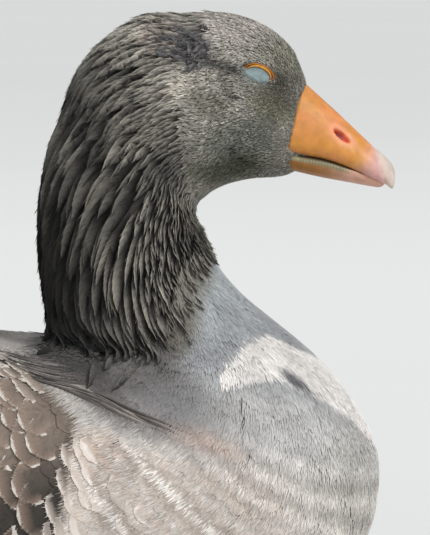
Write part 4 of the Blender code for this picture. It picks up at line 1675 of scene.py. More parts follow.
@dataclass
class Skin:
    """The one closed skin under the plumage, inside the flesh by the coat's depth.

    Attributes:
        body: The map.
        markings: The bird's shades.
        depths: How deep it lies at stations along the body.
        deepest: The share of a section's reach that the depth never passes.
        shade_share: How bright it is under the plumage.
        furrow_shade_share: How bright it is between the neck's locks, darkened as painted shade in
            the furrows.
    """

    body: Body
    markings: Markings
    depths: tuple = ((0.0, 1.0), (6.5, 1.8), (8.0, 3.6), (14.5, 3.4), (17.0, 3.6), (20.0, 6.0))
    deepest: float = 0.28
    shade_share: float = 0.92
    furrow_shade_share: float = 0.3

    def build(self) -> None:
        """Makes the skin."""
        body = self.body
        rings = np.arange(0, len(body.points), 2)
        ring = np.repeat(rings, body.around)
        spoke = np.tile(np.arange(body.around), len(rings)) * 1.0
        stations, depths = np.array(self.depths).T
        depth = np.interp(body.guide[rings], stations, depths)[:, None]
        out = body.points[rings] - body.centres[rings][:, None]
        reach = np.linalg.norm(out, axis=-1)
        reach_in = reach - np.minimum(depth, self.deepest * reach)
        points = body.centres[rings][:, None] + out * (reach_in / reach)[..., None]
        along, turn = body.guide[ring], body.turn(spoke)
        # The skin between the neck's locks is darkened as painted shade in the furrows.
        furrowed = eased(along, 7.0, 9.0) * (1 - eased(along - neck_end(turn), -1.2, -0.2))
        share = self.shade_share + (self.furrow_shade_share - self.shade_share) * furrowed
        shade = self.markings.shade(body, ring.astype(float), spoke) * share[:, None]
        finish = HornFinish("down", 0.9, 0.3, 900.0, 0.5).material()
        piece = tube_sheaf(points, shade.reshape(points.shape)).piece("skin", finish)
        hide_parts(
            "head", "neck_upper", "neck_lower", "breast", "trunk", "tail",
            "wing_left", "wing_right", "primaries_left", "primaries_right",
        )


BILL_UPPER_LINE = (
    Guide(224.6, 262.6, 13), Guide(231.5, 259, 12.6), Guide(238, 255.5, 11.6),
    Guide(246, 250.4, 11.4), Guide(253.9, 245.2, 11.6), Guide(260.5, 241.2, 11),
    Guide(266, 238, 10), Guide(271, 233.6, 8.6), Guide(274, 230.2, 8),
)
BILL_LOWER_LINE = (
    Guide(222, 237.6, 8), Guide(230, 236, 8), Guide(238, 234.6, 9), Guide(246, 232.8, 10),
    Guide(254, 230.6, 11), Guide(260, 229, 12), Guide(265.6, 227.6, 12),
)


@dataclass
class Bill:
    """The bill's two halves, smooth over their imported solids, with nostrils and nail."""

    nodes: dict
    nostril: tuple[float, float] = (247.8, 253.2)
    nostril_lean: float = -40.0
    nostril_half: tuple[float, float] = (5.0, 1.5)
    hollow_half: tuple[float, float] = (9.5, 4.6)
    horn: tuple = (190, 128, 56)
    horn_top: tuple = (202, 136, 94)
    flush: tuple = (208, 160, 152)
    nail: tuple = (196, 180, 170)
    warm: tuple = (214, 136, 90)
    golden: tuple = (204, 142, 44)
    nostril_rim: tuple = (222, 146, 118)
    nostril_red: tuple = (206, 64, 54)
    # the red lining, made darker as painted shade deep in the nostril's opening
    nostril_core_shade: tuple = (104, 10, 8)
    # the lower half's horn, partly darkened as painted shade where it lies under the upper half
    low_horn_shaded: tuple = (150, 100, 46)
    low_tip: tuple = (194, 148, 128)
    comb: tuple = (124, 116, 88)
    seam: tuple = (50, 40, 28)

    def build(self) -> None:
        """Makes both halves."""
        material = HornFinish("bill_horn", 0.46, 0.12, 240.0, 0.2, False, 0.03, 0.08).material()
        parts = [self.nodes["bill_upper"], self.nodes["bill_nail"]]
        upper = FormMap(parts, BILL_UPPER_LINE, 110, 61, (4.0, 4.0))
        sheaf = self._rooted(*self._with_nostrils(upper.points, upper.normals), 16, 16, 1.6)
        piece = sheaf.piece("bill_upper_horn", material)
        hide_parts("bill_upper", "bill_nail")
        lower = FormMap([self.nodes["bill_lower"]], BILL_LOWER_LINE, 80, 49, (2.5, 2.0))
        sheaf = self._rooted(*self._with_lamellae(lower.points), 6, 5, 5.5)
        piece = sheaf.piece("bill_lower_horn", material)
        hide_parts("bill_lower")

    @staticmethod
    def _rooted(points: Array, tint: Array, start: int, back: int, cap: float) -> Sheaf:
        """A half of the bill carried back under the feathers of the face, and rounded in front.

        Args:
            points: The half's rings.
            tint: Their shades.
            start: The first ring that is kept.
            back: How many rings carry its taper on to the feathers.
            cap: How far the rounded end stands out.
        Returns:
            The half.
        """
        step = (points[start] - points[start + 10]) / 10
        root = [points[start] + step * number for number in range(back, 0, -1)]
        middle, away = root[0].mean(axis=0), unit(step.mean(axis=0))
        hidden = [
            middle + (root[0] - middle) * (1 - 0.05 * number) + away * 1.2 * number
            for number in range(6, 0, -1)
        ]
        last = len(points) - 5
        centre = points[last].mean(axis=0) + np.array([0, 0, 1.2 if cap > 3 else -0.8])
        ahead = unit(points[last].mean(axis=0) - points[last - 8].mean(axis=0))
        end = [
            centre + (points[last] - centre) * math.cos(turn) + ahead * cap * math.sin(turn)
            for turn in (0.3, 0.6, 0.85, 1.08, 1.28, 1.44)
        ]
        shades = [tint[start]] * (len(root) + len(hidden))
        return tube_sheaf(
            np.concatenate([hidden, root, points[start : last + 1], end]),
            np.concatenate([shades, tint[start : last + 1], [tint[last]] * len(end)]),
        )

    def _with_nostrils(self, points: Array, normals: Array) -> tuple[Array, Array]:
        """Sinks the nostrils and shades the upper half.

        Args:
            points: The half's rings.
            normals: Their directions across the surface.
        Returns:
            The points and their shades.
        """
        x, z = points[..., 0], points[..., 2]
        u, v = turned(x - self.nostril[0], z - self.nostril[1], self.nostril_lean)
        hollow = np.exp(-((u / self.hollow_half[0]) ** 2 + (v / self.hollow_half[1]) ** 2) * 1.4)
        hole = 1 - eased(np.hypot(u / self.nostril_half[0], v / self.nostril_half[1]), 0.7, 1.15)
        sideways = eased(np.abs(points[..., 1]), 2.0, 5.0)
        border = x + 0.3 * z - 338.0
        groove = np.exp(-((border / 0.9) ** 2)) + 0.6 * np.exp(-(((border + 10.5) / 1.3) ** 2))
        depth = (1.1 * hollow + 1.9 * hole) * sideways + 0.3 * groove
        outward = points - points.mean(axis=1, keepdims=True)
        points = points - normals * (depth * np.sign(dot(normals, outward)[..., 0]))[..., None]
        down_bill = ((x - 224.0) * 0.82 - (z - 265.0) * 0.58) / 62.0
        flat = points.reshape(-1, 3)
        warm, golden = (
            (0.5 + 0.5 * patchy(flat, size, seed)).reshape(x.shape)
            for size, seed in ((12.0, 8), (7.0, 9))
        )
        rim = np.exp(-(((np.hypot(u / 6.4, v / 2.7) - 1) / 0.35) ** 2))
        core = 1 - eased(np.hypot((u + 0.8) / 3.6, (v + 0.1) / 1.2), 0.6, 1.1)
        shades = np.array(self.horn, float) + np.zeros(points.shape)
        for shade, share in (
            (self.horn_top, 0.8 * eased(normals[..., 2], 0.1, 0.9)),
            (self.warm, 0.7 * warm),
            (self.golden, 0.45 * golden * (1 - eased(z, 246.0, 262.0))),
            (self.flush, eased(down_bill, 0.58, 0.80)),
            (self.nail, eased(border, -3.0, 3.0)),
            (self.nostril_rim, 0.7 * rim * sideways),
            (self.nostril_red, hole * sideways),
            # painted shade deep in the nostril's opening
            (self.nostril_core_shade, core * sideways),
        ):
            shades = blended(shades, shade, share)
        return points, linear(np.clip(shades, *SHADE_ENDS))

    def _with_lamellae(self, points: Array) -> tuple[Array, Array]:
        """Closes the lower half against the upper, and shades it with its combed edge."""
        low, high = (end(points[..., 2], axis=1, keepdims=True) for end in (np.min, np.max))
        share = (points[..., 2] - low) / np.maximum(high - low, 1e-6)
        points = points.copy()
        points[..., 1] *= 1 + 0.09 * share
        x = points[..., 0]
        points[..., 2] += (0.9 + 1.2 * eased(x, 246.0, 264.0)) * share
        # The lower half's horn colour is partly painted shade.
        shades = np.array(self.low_horn_shaded, float) + np.zeros(points.shape)
        shades = blended(shades, self.low_tip, eased(x, 232.0, 252.0))
        comb = np.array(self.comb) * (1 + 0.16 * np.sin(x * 4.2))[..., None]
        shades = blended(shades, comb, eased(share, 0.58, 0.68) * (1 - eased(x, 246.0, 256.0)))
        return points, linear(blended(shades, self.seam, eased(share, 0.84, 0.93)))


@dataclass
class Eyes:
    """The sleeping eyes: a drawn membrane under the bare ridges of the upper lid."""

    body: Body
    half: tuple[float, float, float] = (13.0, 8.6, 8.4)
    bulge: float = 0.35
    membrane: tuple = (128, 144, 147)
    # the membrane's top, darkened as painted shade under the lid
    membrane_top_shade: tuple = (98, 112, 114)
    membrane_edge: tuple = (168, 178, 174)
    lid: tuple = (128, 78, 24)
    low_lid: tuple = (112, 114, 106)
    ridges: tuple = ((0.98, 0.70, 0.66, (150, 92, 30)), (0.79, 0.55, 0.60, (196, 138, 46)))

    def build(self) -> None:
        """Makes both eyes."""
        material = HornFinish("eye_membrane", 0.46, 0.16, 500.0, 0.12, False, 0.06).material()
        for side, name in ((1, "eye_left"), (-1, "eye_right")):
            piece = self._ball(side, name, material)
            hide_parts(name)
            for part in (piece, *self._lid(side, name, material)):
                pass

    def _frame(self, side: int) -> tuple[Array, Array]:
        """The eyeball's middle, and its long, outward and upright ways as rows."""
        near = self.body.points[:, : self.body.half]
        away = (near[..., 0] - EYE[0]) ** 2 + (near[..., 2] - EYE[1]) ** 2
        away += 1e3 * (near[..., 1] < 3)
        spot = np.unravel_index(np.argmin(away), away.shape)
        out = unit(np.array([0.16, 0.98, 0.11]))
        turn = math.radians(EYE_LEAN)
        long = np.array([math.cos(turn), 0, math.sin(turn)])
        long = unit(long - np.dot(long, out) * out)
        ways = np.stack([long, out, np.cross(long, out)])
        centre = np.array([EYE[0], near[spot][1], EYE[1]]) + out * (self.bulge - self.half[1])
        mirror = np.array([1, side, 1])
        return centre * mirror, ways * mirror

    def _ball(self, side: int, name: str, material: bpy.types.Material) -> bpy.types.Object:
        """One eyeball under its membrane."""
        bpy.ops.object.select_all(action="DESELECT")
        bpy.ops.mesh.primitive_uv_sphere_add(segments=128, ring_count=96, radius=1.0)
        piece = bpy.context.object
        piece.name = f"{name}_membrane"
        mesh = piece.data
        spots = np.array([vertex.co for vertex in mesh.vertices])[:, [0, 2, 1]]
        spots = spots * np.array(self.half)
        centre, ways = self._frame(side)
        places = (centre + spots @ ways) * MM
        mesh.vertices.foreach_set("co", places.astype(np.float32).ravel())
        mesh.update()
        bpy.ops.object.mode_set(mode="EDIT")
        bpy.ops.mesh.select_all(action="SELECT")
        bpy.ops.mesh.normals_make_consistent(inside=False)
        bpy.ops.object.mode_set(mode="OBJECT")
        bpy.ops.object.shade_smooth()
        painted(mesh, self._tint(spots[:, 0], spots[:, 2]))
        mesh.materials.append(material)
        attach(piece, "root")
        return piece

    def _lid(self, side: int, name: str, material: bpy.types.Material) -> list[bpy.types.Object]:
        """The bare ridges that edge one eye's upper lid."""
        centre, ways = self._frame(side)
        turns = np.radians(np.linspace(172, -28, 60))
        round_it = np.linspace(0, 2 * math.pi, 12, endpoint=False)[None, :, None]
        swell = np.sin(np.linspace(0.03, math.pi - 0.03, 60) ** 1.15)
        pieces = []
        for number, (share, lift, thick, shade) in enumerate(self.ridges):
            u, v = EYE_HALF[0] * share * np.cos(turns), EYE_HALF[1] * share * np.sin(turns)
            reach = 1 - (u / self.half[0]) ** 2 - (v / self.half[2]) ** 2
            line = np.stack([u, self.half[1] * np.sqrt(reach) + lift, v], axis=-1)
            ahead = unit(np.gradient(line, axis=0))
            across = unit(np.cross(ahead, unit(line * np.array([0.4, 1.0, 0.4]))))
            out = np.cross(across, ahead)
            thin = thick * np.clip(swell, 0.02, 1) ** 0.6
            rings = line[:, None] + thin[:, None, None] * (
                np.cos(round_it) * across[:, None] + 1.1 * np.sin(round_it) * out[:, None]
            )
            points = (centre + rings @ ways)[:, :: side]
            sheaf = tube_sheaf(points, linear(shade))
            pieces.append(sheaf.piece(f"{name}_ridge_{number}", material))
        return pieces

    def _tint(self, u: Array, v: Array) -> Array:
        """The membrane's shades over its own width and height."""
        radius = np.hypot(u / EYE_HALF[0], v / EYE_HALF[1])
        upper = eased(v + 0.12 * u, -0.9, 0.6)
        edge = 1 - eased(np.abs(v + 2.5 + 0.244 * u), 0.2, 0.55)
        shades = np.array(self.membrane, float) + np.zeros((len(u), 3))
        for shade, share in (
            # painted shade under the lid
            (self.membrane_top_shade, eased(v, -0.5, 2.6)),
            (self.lid, eased(radius, 0.70, 0.76) * upper),
            (self.membrane_edge, 0.4 * edge * (1 - eased(u, 0.5, 2.5))),
            (self.low_lid, eased(radius, 0.80, 0.98) * (1 - upper)),
        ):
            shades = blended(shades, shade, share)
        return linear(shades)


@dataclass
class Feet:
    """Legs and claws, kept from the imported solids, rounded off and given skin and horn."""

    nodes: dict
    skin_shade: tuple = (214, 138, 84)
    claw_shade: tuple = (92, 80, 70)
    weld: float = 0.00005  # metres
    skin_voxel: float = 0.0011  # metres
    claw_voxel: float = 0.0004  # metres

    def build(self) -> None:
        """Dresses every leg and claw."""
        skin = HornFinish("foot_skin", 0.55, 0.14, 220.0, 0.6, True).material()
        horn = HornFinish("claw_horn", 0.35, 0.15, 400.0, 0.1).material()
        for name, node in self.nodes.items():
            if name.startswith("leg_"):
                piece = self._rounded(node, f"{name}_skin", self.skin_voxel, 6)
                self._dressed(piece, name, self.skin_shade, skin)
            elif name.startswith("claw_"):
                piece = self._rounded(node, f"{name}_horn", self.claw_voxel, 3)
                self._dressed(piece, name, self.claw_shade, horn)

    def _rounded(
        self, node: bpy.types.Object, label: str, voxel: float, passes: int
    ) -> bpy.types.Object:
        """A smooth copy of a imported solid.

        Args:
            node: The solid.
            label: The copy's name.
            voxel: The size of the cells that it is rebuilt from, in metres.
            passes: How often it is smoothed.
        Returns:
            The copy.
        """
        bpy.ops.object.select_all(action="DESELECT")
        piece = bpy.data.objects.new(label, node.data.copy())
        bpy.context.collection.objects.link(piece)
        bpy.context.view_layer.objects.active = piece
        piece.select_set(True)
        piece.data.materials.clear()
        bpy.ops.object.mode_set(mode="EDIT")
        bpy.ops.mesh.select_all(action="SELECT")
        bpy.ops.mesh.remove_doubles(threshold=self.weld)
        bpy.ops.object.mode_set(mode="OBJECT")
        remesh = piece.modifiers.new("rounding", "REMESH")
        remesh.mode, remesh.voxel_size = "VOXEL", voxel
        bpy.ops.object.modifier_apply(modifier=remesh.name)
        smooth = piece.modifiers.new("softening", "SMOOTH")
        smooth.factor, smooth.iterations = 0.5, passes
        bpy.ops.object.modifier_apply(modifier=smooth.name)
        bpy.ops.object.shade_smooth()
        return piece

    @staticmethod
    def _dressed(
        piece: bpy.types.Object, name: str, shade: Sequence[float], finish: bpy.types.Material
    ) -> None:
        """Paints a piece and lets it stand for its solid."""
        painted(piece.data, linear(shade))
        piece.data.materials.append(finish)
        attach(piece, "root")
        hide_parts(name)


# ---------------------------------------------------------------- the plumage


class Look(Enum):
    """The finishes of the coat."""

    SOFT = PlumeFinish("soft_plumage", 0.12, 20.0, 0.15)
    BARBS = PlumeFinish("barbs", 0.1, 20.0, 0.1, relief=0.1)
    NECK = PlumeFinish("neck_plumage", 0.42, relief=0.6)
    BREAST = PlumeFinish("breast_plumage", 0.2, 18.0, 0.16, relief=0.45)
    FLANK = PlumeFinish(
        "flank_plumage", 0.1, 14.0, 0.6, rim=(214, 207, 199), rim_width=1.0,
        band=(214, 200, 190), band_width=5.0, tooth=1.4, shaft=0.012, shaft_shade=0.88,
    )
    WING = PlumeFinish(
        "wing_plumage", 0.22, sweep=0.7, rim=(204, 197, 189), rim_width=1.4,
        band_width=8.0, tooth=0.9, shaft=0.012, shaft_shade=0.88,
    )
    MANTLE = PlumeFinish(
        "mantle_plumage", 0.2, sweep=0.6, rim=(196, 188, 178), rim_width=0.8,
        band=(166, 152, 140), band_width=5.5, tooth=1.6,
    )
    FOLD = PlumeFinish("fold_plumage", 0.25, sweep=0.3, relief=0.5)
    TAIL = PlumeFinish(
        "tail_plumage", 0.2, sweep=0.6, rim=(236, 232, 226), rim_width=2.2, tooth=1.4,
        shaft=0.035,
    )


class Slot(Enum):
    """Names of the finishes that the coat's tracts are sorted under."""

    GREY = "grey_plumage"
    NECK = "neck_plumage"
    PALE = "pale_plumage"
    WING = "wing_plumage"
    TAIL = "tail_plumage"


@dataclass(frozen=True)
class Tract:
    """One kind of feather over one part of the body.

    Attributes:
        name: The piece that it goes into.
        look: Its finish.
        slot: The finish name that it is sorted under.
        where: Which roots belong to it.
        seed: Which small differences to draw.
        apart: From one row to the next, or from one root to the next where none are in rows.
        cut: The feathers' shape.
        dye: Their colouring.
        barb: The fine barbs over them, or none.
        spacing: From one file to the next, or 0 for small tufts scattered with no rows.
        jitter: How far roots stray.
        stagger: Up to 0.5 shifts every other file by that share of a row, 1 shifts each file
            its own way.
    """

    name: str
    look: Look
    slot: Slot
    where: Callable[[Roots], Array]
    seed: int
    apart: float
    cut: Cut
    dye: Dye
    barb: Barb | None = None
    spacing: float = 0.0
    jitter: float = 0.14
    stagger: float = 1.0


def face_guide(roots: Roots) -> Array:
    """The guide number bent so that one value follows the hind border of the face."""
    crown = 1.7 * (1 - eased(roots.turn, 0.05, 0.35))
    return roots.guide + crown - 0.9 * eased(roots.turn, 0.6, 0.9) + 0.35 * patchy(roots.at, 9, 3)


def on_head(roots: Roots) -> Array:
    """Roots of the short fur-like feathers."""
    return face_guide(roots) < 6.5


def off_eyes(roots: Roots) -> Array:
    """How far each root lies from the eye's middle, 1 at the opening's edge."""
    u, v = turned(roots.at[:, 0] - EYE[0], roots.at[:, 2] - EYE[1], EYE_LEAN)
    return np.hypot(u / EYE_HALF[0], v / EYE_HALF[1])


def on_lid(roots: Roots) -> Array:
    """Roots of the pale down along the lower lid."""
    away = off_eyes(roots)
    slope = (roots.at[:, 2] - EYE[1]) + 0.36 * (roots.at[:, 0] - EYE[0])
    return (away > 0.86) & (away < 1.3) & (slope < 0.8) & (roots.guide < 6)


def on_cheek(roots: Roots) -> Array:
    """Roots of the small locks behind the cheek, between fur and neck."""
    return (face_guide(roots) > 6.0) & (face_guide(roots) < 8.1)


def on_ruffle(roots: Roots) -> Array:
    """Roots of the ruffled dark locks at the back of the crown."""
    x, z = seen(roots.at)
    away = np.hypot((x - 174.5) / 11.0, (z - 297.0) / 10.0)
    return (away + 0.2 * patchy(roots.at, 6, 8) < 1) & (roots.turn > 0.12)


def on_nape(roots: Roots) -> Array:
    """Roots of the locks on the poll and upper neck."""
    return (face_guide(roots) > 7.5) & (roots.guide < 9.2)


def hind_share(roots: Roots) -> Array:
    """1 along the back of the neck, 0 on its sides."""
    return 1 - eased(roots.turn, 0.2, 0.34)


def throat_share(roots: Roots) -> Array:
    """Above 0.62 where the neck's locks are the throat's small ones."""
    return roots.turn + 0.04 * patchy(roots.at, 9, 14)


def on_neck(roots: Roots) -> Array:
    """Roots of the furrowed locks, which reach a lock's length past them."""
    end = neck_end(roots.turn) - 1.35 + 0.25 * patchy(roots.at, 12, 4) - hind_share(roots)
    return (roots.guide >= 8.4) & (roots.guide < end) & (throat_share(roots) < 0.64)


def on_throat(roots: Roots) -> Array:
    """Roots of the small locks of the throat."""
    end = neck_end(roots.turn) - 0.6 + 0.3 * patchy(roots.at, 8, 6)
    return (roots.guide >= 8.0) & (roots.guide < end) & (throat_share(roots) > 0.60)


def on_hem(roots: Roots) -> Array:
    """Roots of the short locks along the neck's lower end."""
    end = neck_end(roots.turn) - 0.8 + 0.3 * patchy(roots.at, 8, 6)
    end = end - 0.45 * (np.abs(roots.turn - 0.36) < 0.12)
    start = end - 1.0 - 0.9 * hind_share(roots)
    return (roots.guide > start) & (roots.guide < end) & (throat_share(roots) < 0.62)


def on_breast(roots: Roots) -> Array:
    """Roots of the smooth small feathers from the lower neck to flank and belly."""
    return (
        (roots.guide > neck_end(roots.turn) - 1.1) & (roots.guide < 21.8)
        & (wing_front(*seen(roots.at)) < 5) & (roots.turn > 0.2) & (roots.at[:, 2] > 16)
        & (roots.at[:, 0] > 60)
    )


def on_low_side(roots: Roots) -> Array:
    """Which of those lie behind and below the breast."""
    x, z = seen(roots.at)
    return z < 104 + 0.35 * np.minimum(205 - x, 0)


def on_flank(roots: Roots) -> Array:
    """Roots of the broad flank feathers that lie over the wing's front edge."""
    x, z = seen(roots.at)
    front = wing_front(x, z)
    return (
        (x > -60) & (z < 102) & (z > 10) & (front < -1) & (front > -19)
        & (roots.guide > 18.0)
    )


def on_wing(roots: Roots) -> Array:
    """Roots of the wing coverts and shoulder feathers."""
    x, z = roots.at[:, 0], roots.at[:, 2]
    return (wing_front(*seen(roots.at)) > -12) & (x > -96) & (roots.turn > 0.2) & (
        z > np.interp(x, [-100, 0, 90], [66, 52, 40])
    )


def on_tertials(roots: Roots) -> Array:
    """Roots of the long feathers at the wing's rear."""
    x, z = roots.at[:, 0], roots.at[:, 2]
    return (x < -70) & (x > -128) & (roots.turn > 0.12) & (z > np.interp(x, [-130, -60], [84, 66]))


def on_back(roots: Roots) -> Array:
    """Roots of the mantle, back and rump feathers."""
    return (roots.guide > 16.2) & (roots.guide < 25.4) & (roots.turn < 0.40) & (
        roots.at[:, 0] < 112
    ) & (wing_front(*seen(roots.at)) > -14)


def on_shoulder(roots: Roots) -> Array:
    """Roots of the small feathers between the neck's locks and the mantle."""
    return (roots.guide > 14.8) & (roots.guide < 17.0) & (roots.turn < 0.38) & (
        roots.at[:, 0] < 126
    )


def on_belly(roots: Roots) -> Array:
    """Roots of the belly and undertail feathers."""
    return (roots.guide > 18.6) & (roots.guide < 26.2) & (roots.turn > 0.52) & ~on_flank(roots)


def on_fold(roots: Roots) -> Array:
    """Roots of the narrow feathers along the fold between neck and wing."""
    x, z = seen(roots.at)
    line = np.interp(x, [89, 110, 125, 139, 155, 171], [149.5, 137.5, 123.5, 113, 104.5, 101])
    wide = np.interp(x, [95, 130, 176], [6.5, 5.0, 2.0])
    return (x > 112) & (x < 174) & (np.abs(z - line) < wide) & (roots.turn > 0.2)


TRACTS = (
    Tract("head_fur", Look.SOFT, Slot.GREY, lambda r: on_head(r) & (off_eyes(r) > 1), 11, 0.54,
          Cut(3.8, 0.9, depth=0.8, lift=0.4, camber=0.2, unevenness=0.3, twist=18),
          Dye(root=0.42, valley_shade=0.9, shade_jitter=0.3)),
    Tract("lid_down", Look.SOFT, Slot.GREY, on_lid, 15, 0.5,
          Cut(2.4, 0.5, depth=0.2, lift=0.7, camber=0.15, unevenness=0.3, twist=30),
          Dye(root=0.7, shade=(150, 152, 146), shade_jitter=0.12)),
    Tract("breast_strokes", Look.BREAST, Slot.PALE,
          lambda r: on_breast(r) & ~on_low_side(r), 13, 0.9,
          Cut(5.2, 0.62, depth=0.3, lift=0.14, camber=0.1, unevenness=0.2, twist=6),
          Dye(root=0.94, valley_shade=0.97, shade_jitter=0.05)),
    Tract("shoulder_down", Look.SOFT, Slot.WING, on_shoulder, 23, 1.6,
          Cut(8, 2.2, depth=0.9, lift=0.3, camber=0.3, unevenness=0.25, twist=9),
          Dye(1.15, 0.8, 0.9, shade_jitter=0.1)),
    Tract("flank_strokes", Look.BREAST, Slot.PALE,
          lambda r: on_breast(r) & on_low_side(r), 19, 0.95,
          Cut(4.4, 0.62, depth=0.3, lift=0.15, camber=0.1, unevenness=0.25, twist=7),
          Dye(root=0.94, valley_shade=0.97, shade_jitter=0.05)),
    Tract("cheek_locks", Look.NECK, Slot.NECK, on_cheek, 17, 3.6,
          Cut(9, 2.7, 5, 4, 1.6, 0.6, 0.4, 0.8, 0.5, 0.5, 0.75, 0.1, 1.5, 0.1, 0.15, 5),
          Dye(0.95, 0.45, 0.35, 1.35),
          Barb(10, 2.4, 0.34, fringe=0.2, sweep=0.2, crested=True), 2.1),
    Tract("ruffled_locks", Look.NECK, Slot.NECK, on_ruffle, 25, 2.8,
          Cut(7, 2.4, 7, 4, 1.2, 1.1, 0.4, 0.9, 0.4, 0.5, 0.6, 0.12, 1.5, 0.3, 0.3, 30),
          Dye(1, 0.4, 0.4, 1.6, shade=(92, 90, 90), shade_jitter=0.2),
          Barb(16, 2.4, 0.32, lift=0.6, crested=True), 1.9, 0.25),
    Tract("nape_locks", Look.NECK, Slot.NECK, on_nape, 21, 7.0,
          Cut(19, 3.9, 9, 6, 2.8, 1, 0.4, 2.4, 0.4, 0.5, 0.85, 0.05, 1.4, 0.12, 0.22, 6),
          Dye(0.92, 0.25, 0.1, 2.1),
          Barb(40, 3, 0.38, fringe=0.2, sweep=0.2, crested=True), 3.3, 0.12),
    Tract("neck_locks", Look.NECK, Slot.NECK, on_neck, 31, 15.0,
          Cut(38, 5.6, 16, 6, 3.8, 1.2, 0.15, 4.4, 0.4, 0.42, 0.9, 0.03, 1.4, 0.12, 0.22, 4.5),
          Dye(0.44, 0.12, 0.03, 3.3, rooted=True),
          Barb(76, 3.6, 0.38, fringe=0.15, reach=0.5, sweep=0.2, crested=True), 4.5, 0.1),
    Tract("throat_locks", Look.NECK, Slot.NECK, on_throat, 33, 6.0,
          Cut(15, 3.3, 8, 4, 2.4, 1, 0.25, 2, 0.45, 0.5, 0.8, 0.05, 1.4, 0.12, 0.22, 7),
          Dye(0.68, 0.15, 0.05, 2.0, rooted=True),
          Barb(26, 2.6, 0.34, fringe=0.2, reach=0.6, sweep=0.2, crested=True), 2.7),
    Tract("hem_locks", Look.NECK, Slot.NECK, on_hem, 35, 6.0,
          Cut(15, 4.4, 8, 4, 2.2, 0.2, 0.4, 1, 0.45, 0.5, 0.8, 0.06, 1.5, 0.15, 0.22, 9),
          Dye(0.86, 0.35, 0.35, 1.2, rooted=True),
          Barb(26, 2.6, 0.34, fringe=0.3, reach=0.6, sweep=0.2, crested=True), 3.2),
    Tract("fold_feathers", Look.FOLD, Slot.WING, on_fold, 39, 8.0,
          Cut(34, 1.5, 12, 4, 0.3, 0.7, 0.3, 0.4, 0.3, 0.4, 0.9, 0.03, 1.6, 0.05, 0.2, 3, -72),
          Dye(1, 1.7, 0.55, 1.7, shade=(94, 88, 84), shade_jitter=0.4), spacing=1.6),
    Tract("breast_feathers", Look.BREAST, Slot.PALE, on_breast, 41, 5.4,
          Cut(14, 8, 4, 4, 1.2, -0.2, 0.04, 0, 0.5, 0.6, 0.1, 0.2, 2, 0.3, 0.1, 4),
          Dye(1, 0.94, shade_jitter=0.02), spacing=6.0, stagger=0.5),
    Tract("belly_feathers", Look.BREAST, Slot.PALE, on_belly, 51, 8.5,
          Cut(22, 14, 6, 6, 2.6, 0, 0.3, 0, 0.5, 0.6, 0.1, 0.2, 2.2, 0.6, 0.1, 5),
          Dye(1, 0.9, shade_jitter=0.03), spacing=11.0, jitter=0.12, stagger=0.5),
    Tract("flank_feathers", Look.FLANK, Slot.PALE, on_flank, 61, 6.0,
          Cut(14, 11, 7, 8, 1.8, 0.2, 0.4, 0, 0.6, 0.6, 0, 0.2, 2.2, 0.3, 0.1, 5),
          Dye(1, 0.9, shade_jitter=0.04, side_rim=4),
          Barb(44, 2, 0.34, 0.55, 0.85, 0.6, lift=0.2, pale=(214, 207, 199), jitter=0.06),
          7.5, 0.1, 0.5),
    Tract("mantle_feathers", Look.MANTLE, Slot.WING, on_back, 71, 8.5,
          Cut(24, 16, 8, 8, 3.6, 0.2, 0.7, 0, 0.5, 0.6, 0, 0.14, 2.6, 0.6, 0.1, 4),
          Dye(1, 0.7, shade_jitter=0.12),
          Barb(22, 2.2, 0.45, 0.8, 0.8, 0.8, 0.9, jitter=0.08, pale=(200, 191, 182)),
          12.0, 0.1, 0.5),
    Tract("wing_coverts", Look.WING, Slot.WING, on_wing, 81, 13.0,
          Cut(36, 18, 11, 12, 3.6, 0.3, 0.7, 0, 0.5, 0.55, 0, 0.24, 2.1, 0.25, 0.08, 4),
          Dye(1, 0.7, shade_jitter=0.12),
          Barb(120, 2.2, 0.28, 0.7, 0.8, 0.6, 0.6, 0.5, 0.15, 0.14, (178, 169, 159)),
          12.0, 0.05, 0.5),
    Tract("wing_tertials", Look.WING, Slot.WING, on_tertials, 91, 15.0,
          Cut(104, 26, 20, 12, 6, 0.8, 1.4, 0, 0.5, 0.5, 0.25, 0.1, 2.4, 0.7, 0.06, 2),
          Dye(1, 0.7, shade=(84, 77, 72)), spacing=15.0, jitter=0.06, stagger=0.5),
)


